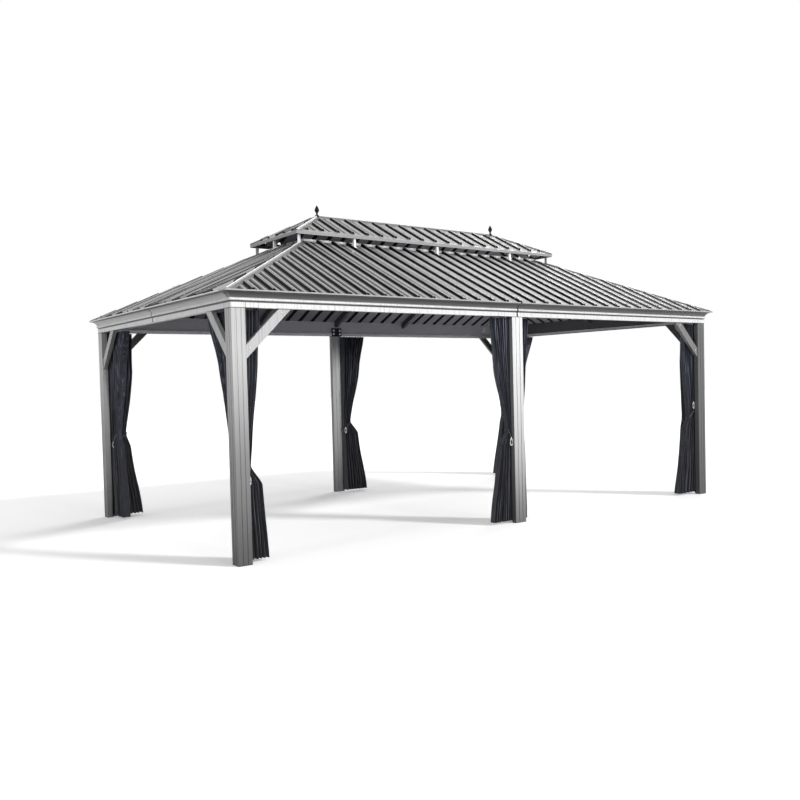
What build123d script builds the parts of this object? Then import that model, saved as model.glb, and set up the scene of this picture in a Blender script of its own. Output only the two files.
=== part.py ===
from build123d import *
import math
import os

# A rectangular metal gazebo with six posts, a moulded beam round the top, a ribbed hip roof,
# a smaller raised hip roof over its vent, and gathered curtains beside the posts.
# Millimetres. X runs along the long sides, Y across, Z up. The origin is on the ground,
# at the middle of the plan. The front long side faces -Y.

# Overall sizes
roof_length = 6030.0
roof_width = 3660.0
post_height = 2005.0

# Moulded beam, from its bottom edge upwards
band_height = 42.0
groove_height = 8.0
groove_depth = 5.0
torus_height = 24.0
cove_height = 46.0
cove_sagitta = 9.0
lip_height = 12.0
lip_thickness = 8.0
cornice_projection = 70.0
beam_depth = 60.0
beam_wall = 3.0
joint_gap = 4.0

# Posts
corner_post_face = 120.0
middle_post_face = 134.0
post_depth = 60.0
post_wall = 3.0
post_edge_radius = 5.0
flute_radius = 4.5
foot_plate_thickness = 8.0

# Knee braces
brace_reach = 400.0
brace_width = 75.0
brace_depth = 38.0

# Lower roof
lower_slope = 0.467
vent_width = 740.0
sheet_thickness = 2.0
rib_pitch = 174.0
rib_height = 22.0
rib_base = 46.0
rib_top = 24.0

# Vent curb at the head of the lower roof, level with the rib tops
curb_width = 40.0
curb_drop = 72.0
curb_wall = 3.0

# Raised roof
upper_width = 1040.0
upper_slope = 0.5
upper_lift = 141.0
eave_band = 45.0
eave_drip = 26.0
drip_thickness = 3.0

# Caps over hips and ridge. They lie on the pans, and the ribs stop short of them.
hip_cap_flange = 48.0
ridge_cap_flange = 56.0
cap_thickness = 2.5
cap_roll_width = 24.0
cap_roll_height = 9.0
rib_end_gap = 3.0

# Rafters
rafter_width = 40.0
rafter_height = 60.0
rafter_wall = 3.0
rafter_every_ribs = 6

# Brackets under the raised roof
bracket_depth = 26.0
bracket_inset = 12.0
bracket_foot_length = 70.0
bracket_foot_thickness = 4.0
hip_bracket_inset = 45.0
hip_bracket_foot_length = 190.0

# Finials on the ridge
finial_height = 107.0
finial_collar_top = 9.0
finial_stem_top = 32.0
finial_bud_middle = 51.0
finial_collar_radius = 20.0
finial_sides = 12
finial_stem_radius = 8.0
finial_bud_radius = 21.0
finial_tip_radius = 1.5
finial_seat = 24.0

# Curtain rails inside the beams
rail_width = 22.0
rail_height = 25.0
rail_wall = 2.5
rail_slot = 8.0
rail_lift = 8.0
rail_corner_gap = 30.0

# Beam joint brackets inside the middle posts
splice_height = 100.0
splice_depth = 20.0
splice_gap = 6.0

# Curtains
curtain_head_gap = 10.0
curtain_shoulder_height = 1575.0
curtain_tie_height = 905.0
low_curtain_tie_height = 765.0
curtain_skirt_drop = 150.0
curtain_hem_height = 20.0
curtain_depths = (70.0, 75.0, 62.0, 80.0, 100.0)
curtain_end_corners = 4
curtain_post_gap = 10.0
curtain_gap = 8.0
front_left_long = (160.0, 140.0, 40.0, 135.0, 180.0)
front_left_short = (545.0, 330.0, 150.0, 190.0, 270.0)
front_right_long = (165.0, 150.0, 80.0, 150.0, 270.0)
front_right_short = (130.0, 130.0, 120.0, 130.0, 190.0)
front_middle_left = (205.0, 175.0, 40.0, 130.0, 235.0)
front_middle_right = (145.0, 100.0, 50.0, 70.0, 85.0)
back_long = (210.0, 205.0, 110.0, 150.0, 262.0)
back_short = (560.0, 400.0, 160.0, 200.0, 270.0)
back_middle = (310.0, 235.0, 75.0, 180.0, 290.0)
middle_curtain_reach = 34.0
back_middle_overlap = 25.0

# Sizes that follow from those above
half_length = roof_length / 2
half_width = roof_width / 2
vent_setback = half_width - vent_width / 2
upper_setback = half_width - upper_width / 2
face_x = half_length - cornice_projection
face_y = half_width - cornice_projection
inner_x = face_x - beam_depth
inner_y = face_y - beam_depth
eave_z = post_height + band_height + groove_height + torus_height + cove_height
lower_angle = math.atan(lower_slope)
upper_angle = math.atan(upper_slope)
head_x = half_length - vent_setback
head_y = half_width - vent_setback
head_z = eave_z + vent_setback * lower_slope
upper_half_length = half_length - upper_setback
upper_half_width = half_width - upper_setback
upper_eave_z = eave_z + upper_setback * lower_slope + upper_lift
ridge_half_length = upper_half_length - upper_half_width
ridge_z = upper_eave_z + upper_half_width * upper_slope
rafter_spacing = rafter_every_ribs * rib_pitch
lower_rib_rise = (sheet_thickness + rib_height) / math.cos(lower_angle)

RIGHT_ANGLE = 90.0
SIDES = {"front": 0.0, "right": RIGHT_ANGLE, "back": 2 * RIGHT_ANGLE, "left": -RIGHT_ANGLE}


def write(shape, node):
    export_step(shape, f"parts/{node}.step")


def turned(shape, side):
    """Carries a shape made on the front side to another side of the plan."""
    return shape.rotate(Axis.Z, SIDES[side])


def side_halves(side):
    """Half the plan's length along a side, and how far the side stands from the middle."""
    if side in ("front", "back"):
        return half_length, half_width
    return half_width, half_length


def kept_side(shape, point, normal):
    """Cuts a shape with a plane and keeps what the plane's normal points to."""
    plane = Plane(origin=point, z_dir=normal)
    return split(shape, bisect_by=plane, keep=Keep.TOP)


def mitred(shape, half_run, half_stand, both=True):
    """Cuts a piece of the front side to the 45 degree planes through its plan corners."""
    cut = kept_side(shape, (half_run, -half_stand, 0), (-1, -1, 0))
    if both:
        cut = kept_side(cut, (-half_run, -half_stand, 0), (1, -1, 0))
    return cut


def corner_copies(shape):
    """A shape made at the front right corner, repeated at all four corners."""
    right = [shape, mirror(shape, about=Plane.XZ)]
    return right + [mirror(piece, about=Plane.YZ) for piece in right]


def tube_section(outline, wall):
    """An outline with the same outline inset by the wall taken out."""
    return outline - offset(outline, amount=-wall, kind=Kind.INTERSECTION)


def stacked_rings(rings):
    """A closed solid with flat sides between rings of points, each level and with as many points."""
    faces = [Face(Wire.make_polygon(ring)) for ring in (rings[0], rings[-1])]
    for lower, upper in zip(rings, rings[1:]):
        for index in range(len(lower)):
            corners = [lower[index - 1], lower[index], upper[index], upper[index - 1]]
            faces.append(Face(Wire.make_polygon(corners)))
    return Solid(Shell(faces))


# Posts

def fluted(outline, faces):
    """Cuts two round flutes into each outer face, at a third and two thirds of its width."""
    for start, end in faces:
        for share in (1 / 3, 2 / 3):
            middle = start + (end - start) * share
            outline -= Pos(middle.X, middle.Y) * Circle(flute_radius)
    return outline


def post_solid(outline, hollow):
    """A tube of a given section, closed by a foot plate under it and a cap plate on top."""
    tube = extrude(outline, amount=post_height)
    chamber_height = post_height - 2 * foot_plate_thickness
    chamber = Pos(0, 0, foot_plate_thickness) * extrude(hollow, amount=chamber_height)
    return tube - chamber


def corner_post():
    """An angle section whose two outer faces lie flush with the beams, at the front right."""
    legs = Polyline(
        (face_x, -face_y),
        (face_x, -face_y + corner_post_face),
        (face_x - post_depth, -face_y + corner_post_face),
        (face_x - post_depth, -face_y + post_depth),
        (face_x - corner_post_face, -face_y + post_depth),
        (face_x - corner_post_face, -face_y),
        close=True,
    )
    angle = make_face(legs)
    hollow = offset(angle, amount=-post_wall - flute_radius, kind=Kind.INTERSECTION)
    rounded = fillet(angle.vertices(), post_edge_radius)
    corner = Vector(face_x, -face_y)
    front_end = Vector(face_x - corner_post_face, -face_y)
    side_end = Vector(face_x, -face_y + corner_post_face)
    return post_solid(fluted(rounded, [(corner, front_end), (corner, side_end)]), hollow)


def middle_post():
    """A flat rectangular section with flutes on its outer and inner faces, at the front."""
    centre_y = -face_y + post_depth / 2
    plain = Pos(0, centre_y) * Rectangle(middle_post_face, post_depth)
    hollow = offset(plain, amount=-post_wall - flute_radius, kind=Kind.INTERSECTION)
    rounded = fillet(plain.vertices(), post_edge_radius)
    half = middle_post_face / 2
    outer = (Vector(-half, -face_y), Vector(half, -face_y))
    inner = (Vector(-half, -face_y + post_depth), Vector(half, -face_y + post_depth))
    return post_solid(fluted(rounded, [outer, inner]), hollow)


def make_posts():
    names = ["post_front_right", "post_back_right", "post_front_left", "post_back_left"]
    for name, shape in zip(names, corner_copies(corner_post())):
        write(shape, name)
    front = middle_post()
    write(front, "post_front_middle")
    write(mirror(front, about=Plane.XZ), "post_back_middle")


# Moulded beams

def beam_section():
    """The beam's section: u runs out from the post face, z up from the beam's bottom."""
    groove_bottom = band_height
    torus_bottom = groove_bottom + groove_height
    torus_top = torus_bottom + torus_height
    cove_top = torus_top + cove_height
    lip_inner = cornice_projection - lip_thickness
    rear_top = cove_top + (cornice_projection + beam_depth) * lower_slope
    cove_end = lip_inner - lip_thickness
    with BuildSketch() as section:
        with BuildLine():
            Polyline(
                (-beam_depth, 0),
                (0, 0),
                (0, groove_bottom),
                (-groove_depth, groove_bottom),
                (-groove_depth, torus_bottom),
                (0, torus_bottom),
            )
            ThreePointArc(
                (0, torus_bottom),
                (torus_height / 2, torus_bottom + torus_height / 2),
                (0, torus_top),
            )
            Line((0, torus_top), (groove_depth, torus_top))
            SagittaArc((groove_depth, torus_top), (cove_end, cove_top), cove_sagitta)
            Polyline(
                (cove_end, cove_top),
                (cornice_projection, cove_top),
                (cornice_projection, cove_top + lip_height),
                (lip_inner, cove_top + lip_height),
                (lip_inner, cove_top + lip_thickness * lower_slope),
                (-beam_depth, rear_top),
                (-beam_depth, 0),
            )
        make_face()
        with BuildSketch(mode=Mode.SUBTRACT):
            with BuildLine():
                Polyline(
                    (-beam_depth + beam_wall, beam_wall),
                    (-groove_depth - beam_wall, beam_wall),
                    (-groove_depth - beam_wall, torus_top),
                    (0, cove_top - cove_height / 2),
                    (cove_end / 2, cove_top - beam_wall),
                    (cove_end / 2, cove_top + beam_wall),
                    (-beam_depth + beam_wall, rear_top - 2 * beam_wall),
                    close=True,
                )
            make_face()
    return section.sketch


def beam_half(side):
    """One half of the front side's beam, from the joint in the middle to the right mitre."""
    run, stand = side_halves(side)
    face = stand - cornice_projection
    section_plane = Plane(origin=(run, -face, post_height), x_dir=(0, -1, 0), z_dir=(-1, 0, 0))
    bar = extrude(section_plane * beam_section(), amount=run - joint_gap / 2)
    return mitred(bar, run, stand, both=False)


def make_beams():
    ends = {
        "front": ("right", "left"),
        "right": ("back", "front"),
        "back": ("left", "right"),
        "left": ("front", "back"),
    }
    for side, (right_end, left_end) in ends.items():
        half = beam_half(side)
        write(turned(half, side), f"beam_{side}_{right_end}")
        write(turned(mirror(half, about=Plane.YZ), side), f"beam_{side}_{left_end}")


# Knee braces

def knee_brace(side):
    """A flat 45 degree tube from the right corner post of a side up to its beam."""
    run, stand = side_halves(side)
    post_side = run - cornice_projection - corner_post_face
    centre_y = -(stand - cornice_projection) + post_depth / 2
    slant = brace_width * math.sqrt(2)
    outline = Polyline(
        (post_side, post_height - brace_reach),
        (post_side, post_height - brace_reach + slant),
        (post_side - brace_reach + slant, post_height),
        (post_side - brace_reach, post_height),
        close=True,
    )
    face = Plane(origin=(0, centre_y + brace_depth / 2, 0), x_dir=(1, 0, 0), z_dir=(0, -1, 0))
    return extrude(face * make_face(outline), amount=brace_depth)


def make_braces():
    long_brace = knee_brace("front")
    short_brace = turned(mirror(knee_brace("right"), about=Plane.YZ), "right")
    pair = Compound([long_brace, short_brace])
    names = ["front_right", "back_right", "front_left", "back_left"]
    for name, shape in zip(names, corner_copies(pair)):
        write(shape, f"knee_braces_{name}")


# Ribbed roof sheets

def rib_middles(half_run, margin):
    """Middles of the ribs that stand clear of the caps at a slope's two corners."""
    count = int((half_run - margin - rib_base) // rib_pitch)
    return [index * rib_pitch for index in range(-count, count + 1)]


def sheet_profile(half_run, ribs):
    """The folded sheet's section: flat pans between trapezoid ribs, one thickness throughout."""
    upper = [(-half_run, sheet_thickness)]
    for middle in ribs:
        upper.append((middle - rib_base / 2, sheet_thickness))
        upper.append((middle - rib_top / 2, sheet_thickness + rib_height))
        upper.append((middle + rib_top / 2, sheet_thickness + rib_height))
        upper.append((middle + rib_base / 2, sheet_thickness))
    upper.append((half_run, sheet_thickness))
    lower = [(x, height - sheet_thickness) for x, height in reversed(upper)]
    return make_face(Polyline(*upper, *lower, close=True))


def ribbed_slope(half_run, half_stand, base_z, slope, start, end, rib_end):
    """A sheet on the front slope, between two setbacks from the eave, cut at the hips.

    Its ribs end at a setback of their own and stop short of the hip caps.
    """
    angle = math.atan(slope)
    climb = (0, math.cos(angle), math.sin(angle))
    overrun = rib_height + rib_base
    low_end = start - overrun
    origin = (0, -half_stand + low_end, base_z + low_end * slope)
    plane = Plane(origin=origin, x_dir=(-1, 0, 0), z_dir=climb)
    length = (end - start + 2 * overrun) / math.cos(angle)
    margin = (hip_cap_flange * math.cos(hip_fall(slope)) + rib_end_gap) * math.sqrt(2)

    def sheet_between(ribs, top, side_margin):
        sheet = extrude(plane * sheet_profile(half_run, ribs), amount=length)
        sheet = kept_side(sheet, (0, -half_stand + start, 0), (0, 1, 0))
        sheet = kept_side(sheet, (0, -half_stand + top, 0), (0, -1, 0))
        return mitred(sheet, half_run - side_margin, half_stand)

    flat = sheet_between([], end, 0.0)
    covered = sheet_between([], rib_end, margin)
    ribbed = sheet_between(rib_middles(half_run, margin), rib_end, margin)
    return flat - covered + ribbed


def make_lower_roof():
    for side in SIDES:
        run, stand = side_halves(side)
        start = lip_thickness
        sheet = ribbed_slope(run, stand, eave_z, lower_slope, start, vent_setback, vent_setback)
        write(turned(sheet, side), f"lower_roof_{side}")


def eave_edge(half_run, half_stand):
    """The raised roof's plain edge: a flat band below the ribs with a drip turned down."""
    vertical_thickness = sheet_thickness / math.cos(upper_angle)
    outline = Polyline(
        (0, -eave_drip),
        (0, vertical_thickness),
        (eave_band, eave_band * upper_slope + vertical_thickness),
        (eave_band, eave_band * upper_slope),
        (drip_thickness, drip_thickness * upper_slope),
        (drip_thickness, -eave_drip),
        close=True,
    )
    plane = Plane(origin=(-half_run, -half_stand, upper_eave_z), x_dir=(0, 1, 0), z_dir=(1, 0, 0))
    edge = extrude(plane * make_face(outline), amount=2 * half_run)
    return mitred(edge, half_run, half_stand)


def make_upper_roof():
    for side in SIDES:
        run, stand = side_halves(side)
        upper_run = run - upper_setback
        upper_stand = stand - upper_setback
        end = upper_half_width
        rib_end = end - ridge_cap_flange * math.cos(upper_angle) - rib_end_gap
        sheet = ribbed_slope(upper_run, upper_stand, upper_eave_z, upper_slope, eave_band, end, rib_end)
        sheet += eave_edge(upper_run, upper_stand)
        write(turned(sheet, side), f"upper_roof_{side}")


# Caps over hips and ridge

def cap_crown(fall):
    """Height of a cap's fold over the line where the two slopes meet, under its roll."""
    return (sheet_thickness + cap_thickness) / math.cos(fall)


def cap_profile(fall, flange):
    """A folded cap's section, over two slopes that fall away at one angle on either side.

    A roll with a flat top runs along the fold.
    """
    across = flange * math.cos(fall)
    down = flange * math.sin(fall)
    seat = sheet_thickness / math.cos(fall)
    crown = cap_crown(fall)
    roll = cap_roll_width / 2
    roll_foot = crown - roll * math.tan(fall)
    roll_top = crown + cap_roll_height
    return make_face(
        Polyline(
            (-across, seat - down),
            (0, seat),
            (across, seat - down),
            (across, crown - down),
            (roll, roll_foot),
            (roll / 2, roll_top),
            (-roll / 2, roll_top),
            (-roll, roll_foot),
            (-across, crown - down),
            close=True,
        )
    )


def hip_fall(slope):
    """How far each slope falls away from a hip, seen along the hip."""
    return math.atan(slope / math.sqrt(2 + slope * slope))


def hip_bar(section, corner_x, corner_y, corner_z, slope, setback, lead):
    """A section run along the front right hip, from before its foot to past its head."""
    along = math.sqrt(2 + slope * slope)
    start = (corner_x + lead, -(corner_y + lead), corner_z - lead * slope)
    plane = Plane(origin=start, x_dir=(-1, -1, 0), z_dir=(-1, 1, slope))
    return extrude(plane * section, amount=(setback + 2 * lead) * along)


def lower_hip_cap():
    section = cap_profile(hip_fall(lower_slope), hip_cap_flange)
    cap = hip_bar(section, half_length, half_width, eave_z, lower_slope, vent_setback, hip_cap_flange)
    cap = kept_side(cap, (half_length - lip_thickness, 0, 0), (-1, 0, 0))
    cap = kept_side(cap, (0, -half_width + lip_thickness, 0), (0, 1, 0))
    inside = Pos(0, 0, head_z) * Box(2 * head_x, 2 * head_y, roof_width)
    return cap - inside


def upper_hip_cap():
    section = cap_profile(hip_fall(upper_slope), hip_cap_flange)
    cap = hip_bar(
        section,
        upper_half_length,
        upper_half_width,
        upper_eave_z,
        upper_slope,
        upper_half_width,
        hip_cap_flange,
    )
    cap = kept_side(cap, (upper_half_length, 0, 0), (-1, 0, 0))
    cap = kept_side(cap, (0, -upper_half_width, 0), (0, 1, 0))
    cap = kept_side(cap, (ridge_half_length, 0, 0), (0, -1, 0))
    return kept_side(cap, (ridge_half_length, 0, 0), ridge_joint_normal())


def ridge_joint_normal():
    """Points from the ridge cap to the hip cap, across the joint between them."""
    angle = math.radians(RIGHT_ANGLE / 4)
    return (math.cos(angle), -math.sin(angle), 0)


def ridge_cap():
    section = cap_profile(upper_angle, ridge_cap_flange)
    reach = ridge_half_length + ridge_cap_flange
    plane = Plane(origin=(-reach, 0, ridge_z), x_dir=(0, 1, 0), z_dir=(1, 0, 0))
    cap = extrude(plane * section, amount=2 * reach)
    normal_x, normal_y, normal_z = ridge_joint_normal()
    for end in (-1, 1):
        for way in (-1, 1):
            point = (end * ridge_half_length, 0, 0)
            cap = cut_beyond(cap, point, (end * normal_x, way * normal_y, normal_z))
    return cap


def cut_beyond(shape, point, normal):
    """Takes away what a plane's normal points to."""
    return kept_side(shape, point, tuple(-value for value in normal))


def make_caps():
    write(Compound(corner_copies(lower_hip_cap())), "lower_hip_caps")
    write(Compound(corner_copies(upper_hip_cap())), "upper_hip_caps")
    write(ridge_cap(), "ridge_cap")


# Vent curb

def make_curb():
    height = curb_drop + lower_rib_rise
    for side in SIDES:
        run, stand = side_halves(side)
        outer_run = run - vent_setback
        outer_stand = stand - vent_setback
        middle = Pos(-outer_stand + curb_width / 2, head_z + (lower_rib_rise - curb_drop) / 2)
        plane = Plane(origin=(-outer_run, 0, 0), x_dir=(0, 1, 0), z_dir=(1, 0, 0))
        section = tube_section(middle * Rectangle(curb_width, height), curb_wall)
        bar = extrude(plane * section, amount=2 * outer_run)
        write(turned(mitred(bar, outer_run, outer_stand), side), f"vent_curb_{side}")


# Rafters

def rafter(side, middle):
    """A tube under the sheet of one side, from the beam's inner face up to the vent curb."""
    run, stand = side_halves(side)
    climb = (0, math.cos(lower_angle), math.sin(lower_angle))
    plane = Plane(origin=(middle, -stand, eave_z), x_dir=(-1, 0, 0), z_dir=climb)
    outline = Pos(0, -rafter_height / 2) * Rectangle(rafter_width, rafter_height)
    length = (vent_setback + rafter_height) / math.cos(lower_angle)
    bar = extrude(plane * tube_section(outline, rafter_wall), amount=length)
    bar = kept_side(bar, (0, -stand + cornice_projection + beam_depth, 0), (0, 1, 0))
    return kept_side(bar, (0, -stand + vent_setback, 0), (0, -1, 0))


def hip_rafter():
    """A tube with a peaked top that fits up under the front right hip."""
    fall = hip_fall(lower_slope)
    half = rafter_width / 2
    outline = make_face(
        Polyline(
            (-half, -half * math.tan(fall)),
            (0, 0),
            (half, -half * math.tan(fall)),
            (half, -rafter_height),
            (-half, -rafter_height),
            close=True,
        )
    )
    section = tube_section(outline, rafter_wall)
    bar = hip_bar(section, half_length, half_width, eave_z, lower_slope, vent_setback, rafter_width)
    bar = kept_side(bar, (inner_x, 0, 0), (-1, 0, 0))
    bar = kept_side(bar, (0, -inner_y, 0), (0, 1, 0))
    inside = Pos(0, 0, head_z) * Box(2 * head_x, 2 * head_y, roof_width)
    return bar - inside


def make_rafters():
    places = [-rafter_spacing, 0.0, rafter_spacing]
    for side in ("front", "back"):
        bars = [turned(rafter(side, place), side) for place in places]
        write(Compound(bars), f"rafters_{side}")
    for side in ("left", "right"):
        write(turned(rafter(side, 0.0), side), f"rafter_{side}")
    write(Compound(corner_copies(hip_rafter())), "hip_rafters")


# Brackets under the raised roof

def bracket(side, middle):
    """A foot plate on a rib of the lower roof and an upright to the raised roof's sheet."""
    run, stand = side_halves(side)
    inset = upper_setback + bracket_inset
    rib_top_z = eave_z + lower_rib_rise
    near = -stand + inset
    far = near + bracket_depth
    foot_near = near - (bracket_foot_length - bracket_depth) / 2
    foot_far = foot_near + bracket_foot_length
    upper_start = -stand + upper_setback
    plate = bracket_foot_thickness / math.cos(lower_angle)

    def on_rib(y, rise):
        return (y, rib_top_z + (y + stand) * lower_slope + rise)

    def under_sheet(y):
        return (y, upper_eave_z + (y - upper_start) * upper_slope)

    outline = Polyline(
        on_rib(foot_near, 0.0),
        on_rib(foot_far, 0.0),
        on_rib(foot_far, plate),
        on_rib(far, plate),
        under_sheet(far),
        under_sheet(near),
        on_rib(near, plate),
        on_rib(foot_near, plate),
        close=True,
    )
    plane = Plane(origin=(middle - rib_top / 2, 0, 0), x_dir=(0, 1, 0), z_dir=(1, 0, 0))
    return extrude(plane * make_face(outline), amount=rib_top)


def hip_bracket():
    """A foot plate on the front right hip cap, and an upright to the raised roof's corner."""
    diagonal = math.sqrt(2)
    hip_angle = math.atan(lower_slope / diagonal)
    crest = (cap_crown(hip_fall(lower_slope)) + cap_roll_height) / math.cos(hip_angle)
    near = upper_setback + hip_bracket_inset
    far = near + bracket_depth / diagonal
    foot_near = far - hip_bracket_foot_length / diagonal
    plate = bracket_foot_thickness / math.cos(hip_angle)
    sheet_fall = rib_top / 2 / diagonal * upper_slope

    def on_cap(setback, rise):
        return (setback * diagonal, eave_z + setback * lower_slope + crest + rise)

    def under_sheet(setback):
        z = upper_eave_z + (setback - upper_setback) * upper_slope
        return (setback * diagonal, z - sheet_fall)

    outline = Polyline(
        on_cap(foot_near, 0.0),
        on_cap(far, 0.0),
        under_sheet(far),
        under_sheet(near),
        on_cap(near, plate),
        on_cap(foot_near, plate),
        close=True,
    )
    plane = Plane(origin=(half_length, -half_width, 0), x_dir=(-1, 1, 0), z_dir=(1, 1, 0))
    return extrude(plane * make_face(outline), amount=rib_top / 2, both=True)


def make_brackets():
    pieces = corner_copies(hip_bracket())
    for side in SIDES:
        places = [-rafter_spacing, 0.0, rafter_spacing] if side in ("front", "back") else [0.0]
        pieces += [turned(bracket(side, place), side) for place in places]
    write(Compound(pieces), "upper_roof_brackets")


# Finials

def facet_ring(radius, height):
    """The corners of a finial's cross-section at one height."""
    turns = [2 * math.pi * index / finial_sides for index in range(finial_sides)]
    return [Vector(radius * math.cos(turn), radius * math.sin(turn), height) for turn in turns]


def finial(cap_pieces):
    """A spear on a collar, both with flat facets. The collar is shaped to the caps under it."""
    profile = [
        (finial_collar_radius, -finial_seat),
        (finial_collar_radius, finial_collar_top),
        (finial_stem_radius, finial_collar_top),
        (finial_stem_radius, finial_stem_top),
        (finial_bud_radius, finial_bud_middle),
        (finial_tip_radius, finial_height),
    ]
    spear = stacked_rings([facet_ring(radius, height) for radius, height in profile])
    crown = ridge_z + cap_crown(upper_angle) + cap_roll_height
    placed = Pos(ridge_half_length, 0, crown) * spear
    for piece in cap_pieces:
        placed -= piece
    return keep_highest(placed)


def keep_highest(shape):
    """The topmost solid of a shape that a cut has left in several solids."""
    return shape.solids().sort_by(Axis.Z)[-1]


def make_finials():
    hip = upper_hip_cap()
    pieces = [ridge_cap(), hip, mirror(hip, about=Plane.XZ)]
    right = finial(pieces)
    write(right, "finial_right")
    write(mirror(right, about=Plane.YZ), "finial_left")


# Curtain rails and beam joint brackets

def rail_bar(start, end, stand):
    """A slotted track on the inner face of the front beam, open downwards."""
    z = post_height + rail_lift + rail_height / 2
    y = -(stand - cornice_projection - beam_depth) + rail_width / 2
    outline = Pos(y, z) * Rectangle(rail_width, rail_height)
    hollow = Pos(y, z) * Rectangle(rail_width - 2 * rail_wall, rail_height - 2 * rail_wall)
    slot = Pos(y, z - rail_height / 2) * Rectangle(rail_slot, 2 * rail_wall)
    plane = Plane(origin=(start, 0, 0), x_dir=(0, 1, 0), z_dir=(1, 0, 0))
    return extrude(plane * (outline - hollow - slot), amount=end - start)


def make_rails():
    splice_edge = middle_post_face / 2 + splice_gap
    long_end = inner_x - rail_corner_gap
    short_end = inner_y - rail_corner_gap
    bars = []
    for side in ("front", "back"):
        bars.append(turned(rail_bar(splice_edge, long_end, half_width), side))
        bars.append(turned(rail_bar(-long_end, -splice_edge, half_width), side))
    for side in ("left", "right"):
        bars.append(turned(rail_bar(-short_end, short_end, half_length), side))
    write(Compound(bars), "curtain_rails")


def make_splices():
    """A box over each middle post, on the inner face, that joins the two halves of the beam."""
    box = Box(middle_post_face, splice_depth, splice_height, align=(Align.CENTER, Align.MIN, Align.MIN))
    front = Pos(0, -inner_y, post_height) * box
    write(front, "beam_joint_front")
    write(mirror(front, about=Plane.XZ), "beam_joint_back")


# Curtains

def bunch(levels, wall):
    """A gathered curtain on the front side, through sections with rounded ends.

    Each level gives its height, where it starts and ends along the rail, and its depth
    from a plane parallel to the rail.
    """
    rings = []
    for height, start, end, depth in levels:
        middle = Vector((start + end) / 2, wall + depth / 2, height)
        rings.append([middle + corner for corner in rounded_bar(end - start, depth)])
    return stacked_rings(rings)


def rounded_bar(width, depth):
    """Corners of a section with faceted round ends, whose sides keep their directions."""
    radius = min(width, depth) / 2
    step = math.pi / curtain_end_corners
    corners = []
    for index in range(2 * curtain_end_corners):
        turn = (index + 1 / 2) * step
        side_x = math.copysign(width / 2 - radius, math.cos(turn))
        side_y = math.copysign(depth / 2 - radius, math.sin(turn))
        corners.append(Vector(side_x + radius * math.cos(turn), side_y + radius * math.sin(turn)))
    return corners


def curtain(edge, stand, near_end, spreads, tie_height=curtain_tie_height, reach=0.0):
    """A curtain on the front side, gathered at the left edge of a post.

    The spreads say how far it reaches past that edge at the head, above the tie, at the
    tie, below the tie and at the hem. near_end is how far it reaches back behind the post,
    and reach how far it hangs out under the beam.
    """
    heights = (
        post_height - curtain_head_gap,
        curtain_shoulder_height,
        tie_height,
        tie_height - curtain_skirt_drop,
        curtain_hem_height,
    )
    levels = []
    for height, spread, depth in zip(heights, spreads, curtain_depths):
        levels.append((height, edge - spread, edge + near_end, depth))
    wall = -(stand - cornice_projection - beam_depth) + curtain_post_gap - reach
    return bunch(levels, wall)


def corner_curtains(long_spreads, short_spreads, tie_height=curtain_tie_height):
    """The two curtains of the front right corner, one on each of its sides.

    The tie height is that of the curtain on the long side.
    """
    notch = corner_post_face - post_depth
    long_edge = face_x - corner_post_face
    short_edge = face_y - corner_post_face
    long_near = notch - curtain_post_gap
    short_near = long_near - max(curtain_depths) - curtain_gap
    long_curtain = curtain(long_edge, half_width, long_near, long_spreads, tie_height)
    short_curtain = curtain(short_edge, half_length, short_near, short_spreads)
    return Compound([long_curtain, turned(mirror(short_curtain, about=Plane.YZ), "right")])


def middle_curtain(near_end, spreads, reach=0.0):
    """A curtain to the left of the front middle post."""
    edge = -middle_post_face / 2
    return curtain(edge, half_width, near_end, spreads, reach=reach)


def make_curtains():
    behind_post = middle_post_face / 2 - curtain_gap / 2
    front_right = corner_curtains(front_right_long, front_right_short)
    front_left = corner_curtains(front_left_long, front_left_short, low_curtain_tie_height)
    front_left = mirror(front_left, about=Plane.YZ)
    back_right = mirror(corner_curtains(back_long, back_short), about=Plane.XZ)
    back_left = mirror(back_right, about=Plane.YZ)
    left_bay = middle_curtain(-curtain_gap / 2, front_middle_left, middle_curtain_reach)
    right_bay = mirror(middle_curtain(behind_post, front_middle_right), about=Plane.YZ)
    back_bay = mirror(middle_curtain(back_middle_overlap, back_middle), about=Plane.YZ)
    write(front_right, "curtains_front_right")
    write(front_left, "curtains_front_left")
    write(back_right, "curtains_back_right")
    write(back_left, "curtains_back_left")
    write(Compound([left_bay, right_bay]), "curtains_front_middle")
    write(mirror(back_bay, about=Plane.XZ), "curtain_back_middle")


if __name__ == "__main__":
    os.makedirs("parts", exist_ok=True)
    make_posts()
    make_beams()
    make_braces()
    make_lower_roof()
    make_upper_roof()
    make_caps()
    make_curb()
    make_rafters()
    make_brackets()
    make_finials()
    make_rails()
    make_splices()
    make_curtains()
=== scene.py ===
import math

import bmesh
import bpy
from mathutils import Matrix, Vector, noise


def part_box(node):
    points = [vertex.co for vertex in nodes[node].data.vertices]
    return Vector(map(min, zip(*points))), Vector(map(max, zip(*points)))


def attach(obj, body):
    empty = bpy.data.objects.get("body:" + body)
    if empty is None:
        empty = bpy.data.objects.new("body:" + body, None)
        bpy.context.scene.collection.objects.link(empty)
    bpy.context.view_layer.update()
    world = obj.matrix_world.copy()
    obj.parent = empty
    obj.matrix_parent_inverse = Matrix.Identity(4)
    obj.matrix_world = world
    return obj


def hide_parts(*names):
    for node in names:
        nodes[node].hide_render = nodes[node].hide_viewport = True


# The looks of a rectangular metal gazebo, in metres: painted posts and beams, ribbed roof
# sheets with beads and screws, caps, finials, tracks and tied curtains.

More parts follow.
